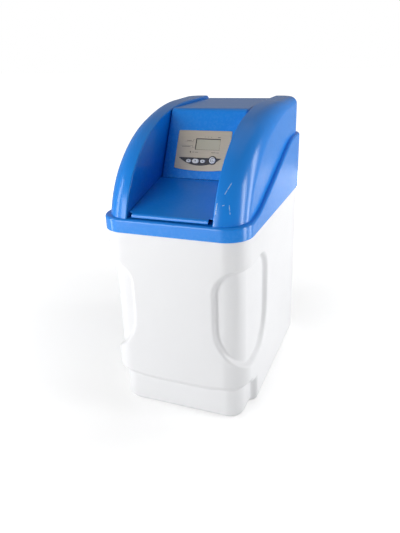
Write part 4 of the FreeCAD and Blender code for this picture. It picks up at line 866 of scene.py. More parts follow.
class SOFTENER_OT_channel(bpy.types.Operator):
    """Build the channel between the wings: floor, filling mouth, bulkhead, rails, rests and back wall"""

    bl_idname = "softener.channel"
    bl_label = "Cover channel"

    def execute(self, context):
        sizes = cover_sizes()
        under, over = sizes.ledge - sizes.wall, sizes.ledge - 0.00005
        across = (-CHANNEL_HALF, CHANNEL_HALF)
        parts = [
            rounded_block("floor_front", (-0.130, 0.130), (-0.2426, -0.232), (under, over)),
            rounded_block("floor_rear", across, (-0.1, -0.0766), (under, over)),
            rounded_block("bulkhead", across, (-0.079, -0.0765), (under, 0.484)),
            rounded_block("back_wall", across, REAR_WALL, (under, 0.597)),
            rounded_block("screw_wall", (-0.0835, 0.0835), REAR_WALL, (0.596, 0.6165)),
        ]
        for side in (-1, 1):
            along_wing = sided(side, sizes.wing_in - 0.0055, sizes.wing_in + 0.0005)
            beside_mouth = sided(side, MOUTH_HALF, CHANNEL_HALF)
            floor = rounded_block("floor_side", beside_mouth, (-0.2325, -0.0995), (under, over))
            rail = rounded_block("rail", along_wing, (-0.235, -0.105), (0.4486, RAIL_TOP))
            start_editing(rail)
            choose(rail, "VERT", lambda place: place.z > 0.48)
            move_chosen(rail, lambda place: place + Vector((0, 0, lid_under(place.y) - RAIL_TOP)))
            clear_selection()
            rest = rounded_block("rest", along_wing, (REST_START, 0.23), (0.4959, 0.5009))
            start_editing(rest)
            select_all()
            move_chosen(rest, lambda place: place + Vector((0, 0, (place.y - REST_START) * REST_SLOPE)))
            clear_selection()
            parts += [floor, rail, rest]
            for y in RIB_PLACES:
                beside_wing = sided(side, 0.1487, 0.158)
                parts.append(rounded_block("rib", beside_wing, (y, y + RIB_WIDTH), (under, 0.462)))
        channel = join("cover_channel", parts)
        for x in (-SCREW_X, SCREW_X):
            cut_round_hole(channel, (x, sum(REAR_WALL) / 2, SCREW_Z), SCREW_RADIUS)
        smooth(channel, 40)
        wear("cover", channel, "blue_gloss", "cover")
        return {"FINISHED"}


# Control panel, drawn flat (x to the right, y up the slope, z outward) and laid on the hood's sloping face

# The plate's half width, foot, top, round corners and the bow of its foot; then, as (left, foot, right, top),
# its window and the display's face, block and visible part, and how deep the display reaches
PLATE_HALF, PLATE_FOOT, PLATE_TOP, PLATE_CORNER, PLATE_BOW = 0.062, 0.0225, 0.1085, 0.003, 0.411
WINDOW = (-0.0185, 0.0652, 0.0385, 0.0907)
DISPLAY_FACE = (-0.0184, 0.0653, 0.0384, 0.0906)
DISPLAY_BACK = (-0.0205, 0.0645, 0.0405, 0.0915)
DISPLAY_OPENING = (-0.0174, 0.0657, 0.0380, 0.0891)
DISPLAY_DEPTH = -0.0111
LIGHT_X, LIGHT_Y, LIGHT_RADIUS = -0.0281, 0.0597, 0.0015

# Keys: middle (x, y), half width and half height
KEYS = {
    "down": (-0.0291, 0.0394, 0.0055, 0.0035),
    "set": (-0.0128, 0.0394, 0.0078, 0.0049),
    "up": (0.0041, 0.0394, 0.0055, 0.0035),
    "regenerate": (0.0261, 0.0423, 0.007, 0.007),
}

# The key band's ends and top, the bow of its foot, and the ring round the last key
BAND_LEFT, BAND_RIGHT, BAND_TOP, BAND_BOW, BAND_RING = -0.054, 0.046, 0.047, 0.0802, 0.0099

# Heights above the hood's face, from and to: the drills, the plate and the lines printed on it, the key band,
# and the keys' caps, flanges and signs
DRILL, PLATE, PRINT, BAND = (-0.003, 0.003), (-0.0012, 0.0008), (0.00078, 0.00084), (0.0008, 0.0016)
CAP, FLANGE, SIGN = (-0.0020, 0.0028), (-0.0030, -0.0015), (0.00275, 0.00288)

# Plain lines printed on the plate: left, foot, width and height
PLATE_LINES = (
    (-0.0440, 0.0832, 0.0190, 0.0004), (-0.0250, 0.0832, 0.0004, 0.0045), (-0.0250, 0.0873, 0.0050, 0.0004),
    (-0.0540, 0.0738, 0.0290, 0.0004), (-0.0250, 0.0698, 0.0004, 0.0044), (-0.0250, 0.0698, 0.0050, 0.0004),
    (-0.0400, 0.0850, 0.0110, 0.0009), (-0.0500, 0.0712, 0.0200, 0.0009), (-0.0235, 0.0590, 0.0050, 0.0009),
    (-0.0172, 0.0590, 0.0070, 0.0009), (0.0210, 0.0590, 0.0100, 0.0009), (0.0324, 0.0590, 0.0060, 0.0009),
    (0.0315, 0.0935, 0.0060, 0.0009), (0.0015, 0.0935, 0.0012, 0.0009), (0.0085, 0.0935, 0.0012, 0.0009),
    (0.0160, 0.0935, 0.0012, 0.0009),
)


def lay_on_panel(piece):
    """Turns a piece drawn flat onto the hood's face."""
    piece.rotation_euler = (cover_sizes().panel_slope, 0, 0)
    piece.location = (0, *PANEL_FOOT)
    settle(piece)
    return piece


def slab(name, points, low, high, bevel=0.0, segments=2):
    """A plate of an outline between two heights, its front edge rounded.

    It starts as a disc with a corner for each point.
    """
    clear_selection()
    bpy.ops.mesh.primitive_circle_add(vertices=len(points), radius=1, fill_type="NGON")
    plate = name_piece(name)
    start_editing(plate)
    select_all()
    order = iter([Vector((x, y, 0)) for x, y in points])
    move_chosen(plate, lambda place: next(order))
    bpy.ops.mesh.normals_make_consistent(inside=False)
    bpy.ops.transform.translate(value=(0, 0, low))
    extrude(0, 0, high - low)
    select_all()
    bpy.ops.mesh.normals_make_consistent(inside=False)
    if bevel:
        choose(plate, "EDGE", lambda place: place.z > high - TOUCHING)
        bpy.ops.mesh.bevel(offset=bevel, segments=segments, affect="EDGES", clamp_overlap=False)
    clear_selection()
    return plate


def rectangle(left, foot, right, top):
    return [(left, foot), (right, foot), (right, top), (left, top)]


def arc(x, y, radius, first, last, steps):
    """Points round a middle between two directions in degrees."""
    turns = [math.radians(first + (last - first) * step / steps) for step in range(steps + 1)]
    return [(x + radius * math.cos(turn), y + radius * math.sin(turn)) for turn in turns]


def disc(x, y, radius, count):
    return arc(x, y, radius, 0, 360, count)[:-1]


def plate_points(grow):
    """Outline of the control plate: round corners and a foot that bows down."""
    corner = PLATE_CORNER + grow
    x, foot, top = PLATE_HALF + grow - corner, PLATE_FOOT - grow, PLATE_TOP + grow
    points = arc(x, top - corner, corner, 0, 90, 6) + arc(-x, top - corner, corner, 90, 180, 6)
    points += arc(-x, foot + corner, corner, 180, 270, 6)
    for step in range(1, 24):
        across = -x + 2 * x * step / 24
        bow = math.sqrt(PLATE_BOW ** 2 - across ** 2) - math.sqrt(PLATE_BOW ** 2 - x ** 2)
        points.append((across, foot - bow))
    return points + arc(x, foot + corner, corner, 270, 360, 6)


def key_points(key, grow, steps=40):
    """A key's outline: a circle for the last key, and ovals a little fuller than an ellipse."""
    x, y, half, radius = KEYS[key]
    fullness = 1.0 if key == "regenerate" else 0.88
    points = []
    for across, up in disc(0, 0, 1, steps):
        across = math.copysign(abs(across) ** fullness, across)
        up = math.copysign(abs(up) ** fullness, up)
        points.append((x + (half + grow) * across, y + (radius + grow) * up))
    return points


def key_drills():
    return [slab("key_drill", key_points(key, 0.0003), *DRILL) for key in KEYS]


def band_points():
    """Outline of the key band: flat top, bowed foot, and a ring that stands out round the last key."""
    middle, half = (BAND_LEFT + BAND_RIGHT) / 2, (BAND_RIGHT - BAND_LEFT) / 2
    centre_y = BAND_TOP + math.sqrt(BAND_BOW ** 2 - half ** 2)
    ring_x, ring_y = KEYS["regenerate"][:2]

    def foot_y(x):
        return centre_y - math.sqrt(BAND_BOW ** 2 - (x - middle) ** 2)

    across = [BAND_LEFT + (BAND_RIGHT - BAND_LEFT) * step / 40 for step in range(41)]
    foot = [(x, foot_y(x)) for x in across
            if math.hypot(x - ring_x, foot_y(x) - ring_y) > BAND_RING + 0.0004]
    ring = disc(ring_x, ring_y, BAND_RING, 48)
    over = [(x, y) for x, y in ring if y > BAND_TOP + 0.0002]
    under = [(x, y) for x, y in ring if y < foot_y(x)]
    before = [point for point in foot if point[0] < ring_x]
    after = [point for point in foot if point[0] > ring_x]
    return before + sorted(under) + after + sorted(over, reverse=True)


class SOFTENER_OT_plate(bpy.types.Operator):
    """Build the metal-toned control plate with its window, and the dark band round the keys"""

    bl_idname = "softener.plate"
    bl_label = "Control plate"

    def execute(self, context):
        plate = slab("control_plate", plate_points(0), *PLATE, bevel=0.0003)
        drills = key_drills()
        drills.append(slab("window_drill", rectangle(*WINDOW), *DRILL))
        drills.append(slab("led_drill", disc(LIGHT_X, LIGHT_Y, LIGHT_RADIUS + 0.0001, 24), *DRILL))
        carve(plate, *drills)
        lay_on_panel(plate)
        smooth(plate, 30)
        wear("cover", plate, "panel_silver", "faceplate")
        band = slab("key_band", band_points(), *BAND, bevel=0.00025)
        carve(band, *key_drills())
        lay_on_panel(band)
        smooth(band, 30)
        wear("cover", band, "panel_dark", "key_surround")
        return {"FINISHED"}


class SOFTENER_OT_keys(bpy.types.Operator):
    """Build the four keys with their signs"""

    bl_idname = "softener.keys"
    bl_label = "Keys"

    def execute(self, context):
        for key in KEYS:
            cap = slab("key_" + key, key_points(key, 0), *CAP, bevel=0.0007, segments=3)
            flange = slab("key_flange", key_points(key, 0.0012), *FLANGE, bevel=0.0002)
            cap = lay_on_panel(join("key_cap_" + key, [cap, flange]))
            smooth(cap, 40)
            wear("key_" + key, cap, "key_white", "button_" + key)
            wear("key_" + key, lay_on_panel(key_sign(key)), "panel_dark")
        return {"FINISHED"}


def key_sign(key):
    """A small dark sign on a key: an arrow, a dot or a turning arrow."""
    x, y = KEYS[key][:2]
    if key == "set":
        return slab("mark_set", disc(x, y, 0.0013, 20), *SIGN)
    if key in ("down", "up"):
        side = 1 if key == "up" else -1
        foot = y - 0.0010 * side
        return slab("mark_" + key, [(x - 0.0017, foot), (x + 0.0017, foot), (x, y + 0.0015 * side)], *SIGN)
    ring = arc(x, y, 0.0044, 60, 350, 30) + arc(x, y, 0.0033, 350, 60, 30)
    head = [(x + 0.0024, y + 0.0052), (x + 0.0009, y + 0.0030), (x + 0.0034, y + 0.0022)]
    parts = [slab("mark_ring", ring, *SIGN), slab("mark_head", head, *SIGN)]
    for bar_y in (y - 0.0006, y + 0.0007):
        bar = rectangle(x - 0.0014, bar_y - 0.0003, x + 0.0014, bar_y + 0.0003)
        parts.append(slab("mark_bar", bar, *SIGN))
    return join("mark_regenerate", parts)


class SOFTENER_OT_display(bpy.types.Operator):
    """Build the display behind the plate's window, its rim, the small light and the printed lines"""

    bl_idname = "softener.display"
    bl_label = "Display"

    def execute(self, context):
        face = rectangle(*DISPLAY_FACE)
        parts = [slab("display_block", rectangle(*DISPLAY_BACK), DISPLAY_DEPTH, -0.0015, bevel=0.0002),
                 slab("display_face", face, -0.0016, -0.0007, bevel=0.0002)]
        display = lay_on_panel(join("display_window", parts))
        smooth(display, 30)
        wear("cover", display, "lcd", "display_screen")
        rim = slab("display_rim", face, -0.0007, 0.0006)
        carve(rim, slab("rim_opening", rectangle(*DISPLAY_OPENING), -0.002, 0.002))
        lay_on_panel(rim)
        wear("cover", rim, "panel_dark")
        bulb = disc(LIGHT_X, LIGHT_Y, LIGHT_RADIUS, 24)
        light = lay_on_panel(slab("status_light", bulb, DISPLAY_DEPTH, 0.0012, bevel=0.0006, segments=4))
        smooth(light, 50)
        wear("cover", light, "led", "status_led")
        strokes = [slab("stroke", rectangle(x, y, x + width, y + height), *PRINT)
                   for x, y, width, height in PLATE_LINES]
        wear("cover", lay_on_panel(join("plate_lines", strokes)), "panel_dark")
        return {"FINISHED"}


# Finishes: steps that the materials share


def dress(piece, material):
    piece.data.materials.clear()
    piece.data.materials.append(material)


def new_material(name):
    """A new material, its node tree, its shader and the socket that gives the place on the piece."""
    material = bpy.data.materials.new(name)
    material.use_nodes = True
    tree = material.node_tree
    place = tree.nodes.new("ShaderNodeTexCoord").outputs["Object"]
    return material, tree, tree.nodes["Principled BSDF"], place


def feed(tree, socket, value):
    """Links a socket to another one, or gives it a fixed value."""
    if isinstance(value, bpy.types.NodeSocket):
        tree.links.new(value, socket)
    else:
        socket.default_value = value


def noise(tree, place, scale, detail, roughness=0.55):
    node = tree.nodes.new("ShaderNodeTexNoise")
    for label, value in (("Vector", place), ("Scale", scale), ("Detail", detail), ("Roughness", roughness)):
        feed(tree, node.inputs[label], value)
    return node.outputs["Fac"]


def ranged(tree, source, low, high, to_low=0.0, to_high=1.0):
    """Turns low to high of the source into to_low to to_high, and stops at both."""
    node = tree.nodes.new("ShaderNodeMapRange")
    for label, value in (("Value", source), ("From Min", low), ("From Max", high), ("To Min", to_low),
                         ("To Max", to_high)):
        feed(tree, node.inputs[label], value)
    return node.outputs["Result"]


def math_step(tree, operation, one, other):
    """One step of arithmetic between sockets and numbers."""
    node = tree.nodes.new("ShaderNodeMath")
    node.operation = operation
    feed(tree, node.inputs[0], one)
    feed(tree, node.inputs[1], other)
    return node.outputs[0]


def vector_step(tree, operation, *values):
    """One step of vector arithmetic between sockets and fixed vectors."""
    node = tree.nodes.new("ShaderNodeVectorMath")
    node.operation = operation
    for socket, value in zip(node.inputs, values):
        feed(tree, socket, value)
    return node.outputs["Value" if operation in ("DOT_PRODUCT", "DISTANCE", "LENGTH") else "Vector"]


def mixed(tree, mask, one, other):
    """The first colour where the mask is 0 and the other where it is 1."""
    node = tree.nodes.new("ShaderNodeMix")
    node.data_type = "RGBA"
    feed(tree, node.inputs["Factor"], mask)
    feed(tree, node.inputs[6], one)
    feed(tree, node.inputs[7], other)
    return node.outputs[2]


def brightened(tree, tint, amount):
    """A colour made brighter or darker by a changing amount round 1."""
    node = tree.nodes.new("ShaderNodeHueSaturation")
    feed(tree, node.inputs["Value"], amount)
    feed(tree, node.inputs["Color"], tint)
    return node.outputs["Color"]


def raised(tree, shader, height, strength, depth):
    """Gives the shader a surface that is raised by a height."""
    bump = tree.nodes.new("ShaderNodeBump")
    for label, value in (("Strength", strength), ("Distance", depth), ("Height", height)):
        feed(tree, bump.inputs[label], value)
    tree.links.new(bump.outputs["Normal"], shader.inputs["Normal"])


# Node groups that more than one material uses


def new_group(name, inputs, outputs):
    """A new node group: a vector, its other inputs (name, kind, default) and its outputs (name, kind)."""
    group = bpy.data.node_groups.new(name, "ShaderNodeTree")
    group.interface.new_socket("Vector", in_out="INPUT", socket_type="NodeSocketVector")
    for label, kind, default in inputs:
        socket = group.interface.new_socket(label, in_out="INPUT", socket_type="NodeSocket" + kind)
        socket.default_value = default
    for label, kind in outputs:
        group.interface.new_socket(label, in_out="OUTPUT", socket_type="NodeSocket" + kind)
    return group, group.nodes.new("NodeGroupInput").outputs, group.nodes.new("NodeGroupOutput").inputs


def moulded_group(name):
    """Moulded plastic: slow tone changes, handling marks and a fine grain."""
    inputs = [("Colour", "Color", (0.8, 0.8, 0.8, 1)), ("Roughness", "Float", 0.3), ("Tone", "Float", 0.06),
              ("Marks", "Float", 0.08), ("Grain scale", "Float", 900.0)]
    outputs = [("Colour", "Color"), ("Roughness", "Float"), ("Height", "Float")]
    group, given, made = new_group(name, inputs, outputs)
    place = given["Vector"]
    slow = math_step(group, "SUBTRACT", noise(group, place, scale=7.0, detail=3.0), 0.5)
    tone = math_step(group, "ADD", math_step(group, "MULTIPLY", slow, given["Tone"]), 1.0)
    marks = ranged(group, noise(group, place, scale=34.0, detail=5.0, roughness=0.62), 0.44, 0.72)
    rougher = math_step(group, "MULTIPLY", marks, given["Marks"])
    feed(group, made["Colour"], brightened(group, given["Colour"], tone))
    feed(group, made["Roughness"], math_step(group, "ADD", given["Roughness"], rougher))
    feed(group, made["Height"], noise(group, place, given["Grain scale"], detail=2.0, roughness=0.5))
    return group


def worn_group(name):
    """Edge wear: a mask of raised edges from the surface's own pointiness, broken up by noise."""
    inputs = [("Amount", "Float", 0.5), ("Scale", "Float", 160.0)]
    group, given, made = new_group(name, inputs, [("Mask", "Float")])
    edge = ranged(group, group.nodes.new("ShaderNodeNewGeometry").outputs["Pointiness"], 0.52, 0.62)
    patches = noise(group, given["Vector"], given["Scale"], detail=6.0, roughness=0.5)
    mask = math_step(group, "MULTIPLY", edge, ranged(group, patches, 0.46, 0.6))
    feed(group, made["Mask"], math_step(group, "MULTIPLY", mask, given["Amount"]))
    return group


def scuff_group(name):
    """A scuff: a broken mask along a short line on the surface, which may lie a little off in depth."""
    inputs = [("Start", "Vector", (0, 0, 0)), ("End", "Vector", (0, 0, 0.01)), ("Width", "Float", 0.0008)]
    group, given, made = new_group(name, inputs, [("Mask", "Float")])
    shallow = (1.0, 0.2, 1.0)
    here, start, end = (vector_step(group, "MULTIPLY", given[label], shallow)
                        for label in ("Vector", "Start", "End"))
    here = vector_step(group, "SUBTRACT", here, start)
    reach = vector_step(group, "SUBTRACT", end, start)
    along = math_step(group, "DIVIDE", vector_step(group, "DOT_PRODUCT", here, reach),
                     vector_step(group, "DOT_PRODUCT", reach, reach))
    nearest = vector_step(group, "MULTIPLY", reach, ranged(group, along, 0.0, 1.0))
    away = math_step(group, "DIVIDE", vector_step(group, "DISTANCE", here, nearest), given["Width"])
    near = ranged(group, math_step(group, "SUBTRACT", 1.0, away), 0.0, 0.5)
    broken = ranged(group, noise(group, given["Vector"], scale=320.0, detail=4.0), 0.36, 0.5)
    feed(group, made["Mask"], math_step(group, "MULTIPLY", near, broken))
    return group


NODE_GROUPS = {"moulded plastic": moulded_group, "worn edges": worn_group, "scuff": scuff_group}


def place_group(tree, name, **values):
    """Puts a shared node group into a material with its own values, and returns its outputs."""
    node = tree.nodes.new("ShaderNodeGroup")
    node.node_tree = bpy.data.node_groups.get(name) or NODE_GROUPS[name](name)
    for label, value in values.items():
        feed(tree, node.inputs[label.replace("_", " ")], value)
    return node.outputs


# Finishes: the materials

# Pale rubbed marks on the right wing: start, end and half width
SCUFF_TINT = (0.33, 0.56, 0.86, 1.0)
SCUFFS = (
    ((0.1090, -0.2221, 0.5088), (0.1175, -0.2073, 0.5262), 0.0011),
    ((0.0968, -0.2330, 0.4920), (0.0962, -0.2410, 0.4740), 0.0012),
    ((0.1195, -0.2290, 0.4890), (0.1225, -0.2330, 0.4740), 0.0009),
    ((0.1076, -0.2333, 0.4890), (0.1105, -0.2325, 0.4897), 0.0009),
    ((0.0951, -0.2474, 0.4566), (0.0935, -0.2490, 0.4530), 0.0009),
)


def plastic(name, tint, roughness, tone, marks, grain, worn=None, coat=0.0, shine=0.5, scuffs=()):
    """A moulded plastic. Grain is (scale, depth), and worn is (amount, colour of the worn edges)."""
    material, tree, shader, place = new_material(name)
    grain_scale, grain_depth = grain
    base = place_group(tree, "moulded plastic", Vector=place, Colour=(*tint, 1.0), Roughness=roughness,
                       Tone=tone, Marks=marks, Grain_scale=grain_scale)
    paint = base["Colour"]
    if worn:
        amount, worn_tint = worn
        edges = place_group(tree, "worn edges", Vector=place, Amount=amount)
        paint = mixed(tree, edges["Mask"], paint, (*worn_tint, 1.0))
    for start, end, width in scuffs:
        scuff = place_group(tree, "scuff", Vector=place, Start=start, End=end, Width=width)
        paint = mixed(tree, scuff["Mask"], paint, SCUFF_TINT)
    feed(tree, shader.inputs["Base Color"], paint)
    feed(tree, shader.inputs["Roughness"], base["Roughness"] if marks else roughness)
    raised(tree, shader, base["Height"], 0.25, grain_depth)
    shader.inputs["Specular IOR Level"].default_value = shine
    shader.inputs["Coat Weight"].default_value = coat
    shader.inputs["Coat Roughness"].default_value = 0.06
    return material


def brushed_film(name, tint):
    """A printed metal tone with fine streaks across the plate."""
    material, tree, shader, place = new_material(name)
    stretch = tree.nodes.new("ShaderNodeMapping")
    stretch.inputs["Scale"].default_value = (40.0, 1600.0, 1600.0)
    feed(tree, stretch.inputs["Vector"], place)
    streaks = noise(tree, stretch.outputs["Vector"], scale=1.0, detail=3.0)
    base = place_group(tree, "moulded plastic", Vector=place, Colour=(*tint, 1.0), Roughness=0.40,
                       Tone=0.10, Marks=0.08, Grain_scale=1500.0)
    paint = brightened(tree, base["Colour"], ranged(tree, streaks, 0.3, 0.7, 0.94, 1.06))
    feed(tree, shader.inputs["Base Color"], paint)
    feed(tree, shader.inputs["Roughness"], base["Roughness"])
    raised(tree, shader, streaks, 0.15, 0.00003)
    shader.inputs["Metallic"].default_value = 0.35
    return material


def metal(name, tint, roughness):
    """A bare metal with handling marks and brighter edges."""
    material, tree, shader, place = new_material(name)
    base = place_group(tree, "moulded plastic", Vector=place, Colour=(*tint, 1.0), Roughness=roughness,
                       Tone=0.12, Marks=0.14, Grain_scale=1200.0)
    edges = place_group(tree, "worn edges", Vector=place, Amount=0.6, Scale=300.0)
    bright = (*(min(part * 1.5 + 0.05, 1.0) for part in tint), 1.0)
    feed(tree, shader.inputs["Base Color"], mixed(tree, edges["Mask"], base["Colour"], bright))
    feed(tree, shader.inputs["Roughness"], base["Roughness"])
    raised(tree, shader, base["Height"], 0.2, 0.00004)
    shader.inputs["Metallic"].default_value = 1.0
    return material


# The finish of each slot of the record: the material's name, how it is made, its colour (or the name of one
# in the sidebar), and what else that way of making it asks for, in the order it asks
FINISHES = {
    "blue_gloss": ("gloss blue", plastic, "blue", 0.24, 0.015, 0.0, (1800.0, 0.000006),
                   (0.30, (0.08, 0.42, 0.92)), 0.0, 0.62, SCUFFS),
    "white_satin": ("satin white", plastic, "white", 0.36, 0.02, 0.10, (700.0, 0.00006)),
    "key_white": ("key white", plastic, "key_white", 0.34, 0.03, 0.06, (900.0, 0.00003)),
    "panel_dark": ("charcoal film", plastic, "charcoal", 0.38, 0.10, 0.10, (1600.0, 0.00002)),
    "panel_silver": ("brushed silver", brushed_film, "silver"),
    "lcd": ("display glass", plastic, "display", 0.16, 0.05, 0.06, (1800.0, 0.00001), None, 0.5),
    "led": ("dark lens", plastic, (0.035, 0.03, 0.03), 0.14, 0.05, 0.05, (1500.0, 0.00001), None, 0.4),
    "case_black": ("case black", plastic, (0.02, 0.02, 0.022), 0.42, 0.15, 0.12, (800.0, 0.00006),
                   (0.4, (0.09, 0.09, 0.095))),
    "board_green": ("board green", plastic, (0.015, 0.10, 0.035), 0.34, 0.20, 0.10, (500.0, 0.00004)),
    "steel": ("zinc steel", metal, (0.56, 0.55, 0.52), 0.30),
    "vessel_grey": ("wound vessel", plastic, (0.10, 0.11, 0.125), 0.40, 0.25, 0.15, (260.0, 0.0002),
                    (0.3, (0.22, 0.23, 0.25))),
    "resin_amber": ("resin beads", plastic, (0.30, 0.12, 0.02), 0.45, 0.30, 0.20, (1100.0, 0.0006)),
    "valve_black": ("glass filled black", plastic, (0.018, 0.018, 0.019), 0.50, 0.20, 0.14, (950.0, 0.00012),
                    (0.5, (0.10, 0.10, 0.10))),
    "pipe_white": ("pipe white", plastic, (0.72, 0.72, 0.70), 0.36, 0.06, 0.10, (600.0, 0.00005)),
    "ceramic_white": ("ceramic white", plastic, (0.82, 0.81, 0.78), 0.16, 0.03, 0.04, (300.0, 0.00002)),
    "gear_natural": ("gear natural", plastic, (0.70, 0.66, 0.56), 0.38, 0.08, 0.10, (700.0, 0.00005)),
    "rubber_black": ("rubber black", plastic, (0.014, 0.014, 0.014), 0.70, 0.20, 0.12, (1500.0, 0.0001)),
    "brass": ("turned brass", metal, (0.62, 0.43, 0.16), 0.28),
    "lever_red": ("lever red", plastic, (0.50, 0.025, 0.015), 0.32, 0.12, 0.10, (600.0, 0.00006),
                  (0.4, (0.62, 0.18, 0.15))),
    "float_white": ("float white", plastic, (0.76, 0.76, 0.74), 0.45, 0.05, 0.10, (300.0, 0.0002)),
    "tube_clear": ("brine tube", plastic, (0.60, 0.64, 0.66), 0.22, 0.08, 0.08, (500.0, 0.00003)),
}


def finish(slot):
    """The material of a slot, made the first time that it is asked for."""
    name, make, tint, *values = FINISHES[slot]
    if isinstance(tint, str):
        tint = tuple(getattr(bpy.context.scene.softener_colours, tint))
    return bpy.data.materials.get(name) or make(name, tint, *values)


class SOFTENER_OT_inner_parts(bpy.types.Operator):
    """Give the vessel, valve, gears, bypass and brine parts their finishes"""

    bl_idname = "softener.inner_parts"
    bl_label = "Inner parts"

    def execute(self, context):
        slots = {part["node"]: part["material_slot"] for part in frame["record"]["subparts"]}
        for name, node in frame["nodes"].items():
            if not node.hide_render:
                dress(node, finish(slots[name]))
        return {"FINISHED"}


# Stage

# The points that the camera and the lamps look at
CAMERA_AIM, LAMP_AIM = (-0.0371, 0, 0.2532), (0, 0, 0.35)

# Lamps: azimuth and elevation in degrees, distance, width and height, level, and whether gloss shows it. A
# level of 1 shows colours as written on a surface that faces the lamp
LAMPS = {
    "left_lamp": (-62, 10, 1.15, (0.12, 1.1), 0.23, True),
    "right_lamp": (86, 8, 1.2, (0.25, 1.1), 0.46, True),
    "rear_lamp": (115, 8, 1.2, (0.25, 1.1), 0.34, True),
    "front_lamp": (-27, 10, 2.2, (1.6, 1.6), 0.72, True),
    "top_lamp": (170, 74, 2.2, (1.5, 1.5), 0.04, True),
    "back_lamp": (182, 6, 2.2, (1.6, 1.6), 0.50, False),
}

# Strength of the surroundings as light, and how strongly gloss shows them and the floor's glow
WORLD_LIGHT, WORLD_MIRRORED, FLOOR_MIRRORED = 0.14, 0.22, 0.3

# The floor glows at its low level up to GLOW_NEAR from the middle, and climbs to GLOW_FULL at GLOW_FAR. The
# low glow near the middle is painted shade: a grey halo on the floor round the object
GLOW_NEAR, GLOW_FAR, PAINTED_SHADE_GLOW, GLOW_FULL = 0.3, 1.8, 0.34, 1.0


def direction(azimuth, elevation):
    """From the object to a place round it, from angles that start at the front and at the level."""
    return Vector((math.sin(azimuth) * math.cos(elevation), -math.cos(azimuth) * math.cos(elevation),
                   math.sin(elevation)))


def soft_lamp(name, azimuth, elevation, distance, size, level, mirrored):
    """A rectangular lamp round the object that lights a surface facing it at a level."""
    towards = direction(math.radians(azimuth), math.radians(elevation))
    clear_selection()
    bpy.ops.object.light_add(type="AREA", location=Vector(LAMP_AIM) + distance * towards)
    lamp = bpy.context.active_object
    lamp.name = name
    lamp.data.shape = "RECTANGLE"
    lamp.data.size, lamp.data.size_y = size
    lamp.data.energy = level * (math.pi * distance) ** 2
    lamp.rotation_euler = (-towards).to_track_quat("-Z", "Y").to_euler()
    lamp.visible_glossy = mirrored


def seen_directly(tree, mirrored):
    """1 for what the camera or glass sees, mirrored for a reflection, and 0 for the light on the object."""
    path = tree.nodes.new("ShaderNodeLightPath").outputs
    gloss = math_step(tree, "MULTIPLY", path["Is Glossy Ray"], mirrored)
    seen = math_step(tree, "MAXIMUM", path["Is Camera Ray"], gloss)
    return math_step(tree, "MAXIMUM", seen, path["Is Transmission Ray"])


def floor_paint():
    """Pale floor that is seen nearly white, with the object's shadow kept, and painted shade round the object
    where its glow is lower near the middle.
    """
    material, tree, shader, place = new_material("pale floor")
    speck = noise(tree, place, scale=3.0, detail=3.0)
    paint = mixed(tree, speck, (0.80, 0.80, 0.80, 1), (0.83, 0.83, 0.83, 1))
    feed(tree, shader.inputs["Base Color"], paint)
    shader.inputs["Roughness"].default_value = 0.8
    # Painted shade: the glow is lower near the middle, so the floor is seen greyer round the object
    white = ranged(tree, vector_step(tree, "LENGTH", place), GLOW_NEAR, GLOW_FAR, PAINTED_SHADE_GLOW, GLOW_FULL)
    strength = math_step(tree, "MULTIPLY", white, seen_directly(tree, FLOOR_MIRRORED))
    glow = tree.nodes.new("ShaderNodeEmission")
    feed(tree, glow.inputs["Strength"], strength)
    both = tree.nodes.new("ShaderNodeAddShader")
    feed(tree, both.inputs[0], shader.outputs[0])
    feed(tree, both.inputs[1], glow.outputs[0])
    feed(tree, tree.nodes["Material Output"].inputs["Surface"], both.outputs[0])
    return material


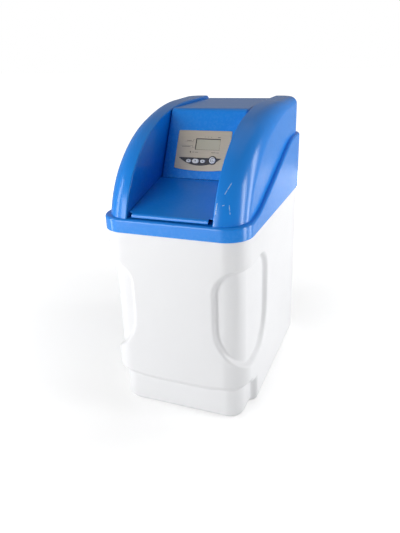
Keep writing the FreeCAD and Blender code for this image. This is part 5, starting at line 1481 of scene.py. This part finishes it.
class SOFTENER_OT_stage(bpy.types.Operator):
    """Set the camera, the floor, the lamps and the white surroundings"""

    bl_idname = "softener.stage"
    bl_label = "Stage"

    def execute(self, context):
        stage = context.scene.softener_stage
        back = direction(stage.azimuth, stage.elevation)
        right = Vector((0, 0, 1)).cross(back).normalized()
        up = back.cross(right)
        leaning_right = right * math.cos(stage.roll) + up * math.sin(stage.roll)
        leaning_up = up * math.cos(stage.roll) - right * math.sin(stage.roll)
        clear_selection()
        bpy.ops.object.camera_add()
        camera = context.active_object
        camera.name = "photo_camera"
        turn = Matrix((leaning_right, leaning_up, back)).transposed().to_4x4()
        camera.matrix_world = Matrix.Translation(Vector(CAMERA_AIM) + back * stage.distance) @ turn
        camera.data.lens = stage.lens
        camera.data.sensor_width = 36
        camera.data.clip_start = 0.05
        context.scene.camera = camera
        bpy.ops.mesh.primitive_plane_add(size=30, location=(0, 0, 0))
        floor = name_piece("floor")
        dress(floor, floor_paint())
        for name, values in LAMPS.items():
            soft_lamp(name, *values)
        world = bpy.data.worlds.new("surroundings")
        context.scene.world = world
        world.use_nodes = True
        tree = world.node_tree
        ground = tree.nodes["Background"]
        strength = ranged(tree, seen_directly(tree, WORLD_MIRRORED), 0.0, 1.0, WORLD_LIGHT, 1.0)
        feed(tree, ground.inputs["Strength"], strength)
        feed(tree, ground.inputs["Color"], (1, 1, 1, 1))
        context.scene.view_settings.view_transform = "Standard"
        return {"FINISHED"}


# Sidebar panel and registration

STEPS = (
    SOFTENER_OT_stage, SOFTENER_OT_cabinet, SOFTENER_OT_skirt, SOFTENER_OT_wings, SOFTENER_OT_channel,
    SOFTENER_OT_hood, SOFTENER_OT_plate, SOFTENER_OT_display, SOFTENER_OT_keys, SOFTENER_OT_lid,
    SOFTENER_OT_inner_parts,
)

GROUPS = {
    "softener_cabinet": SoftenerCabinet,
    "softener_cover": SoftenerCover,
    "softener_colours": SoftenerColours,
    "softener_stage": SoftenerStage,
}


class SOFTENER_PT_sidebar(bpy.types.Panel):
    """Lists the pieces, and the sizes and colours that they are made with"""

    bl_idname = "SOFTENER_PT_sidebar"
    bl_label = "Water softener"
    bl_space_type = "VIEW_3D"
    bl_region_type = "UI"
    bl_category = "Softener"

    def draw(self, context):
        for step in STEPS:
            self.layout.operator(step.bl_idname)
        for name, group in GROUPS.items():
            box = self.layout.box()
            for value in group.__annotations__:
                box.prop(getattr(context.scene, name), value)


def register():
    for kind in (*GROUPS.values(), *STEPS, SOFTENER_PT_sidebar):
        bpy.utils.register_class(kind)
    for name, group in GROUPS.items():
        setattr(bpy.types.Scene, name, PointerProperty(type=group))


def unregister():
    for name in GROUPS:
        delattr(bpy.types.Scene, name)
    for kind in (SOFTENER_PT_sidebar, *reversed(STEPS), *GROUPS.values()):
        bpy.utils.unregister_class(kind)


def main():
    """Builds every piece in turn."""
    register()
    for step in STEPS:
        family, name = step.bl_idname.split(".")
        getattr(getattr(bpy.ops, family), name)()
    clear_selection()


if __name__ == "__main__":
    main()
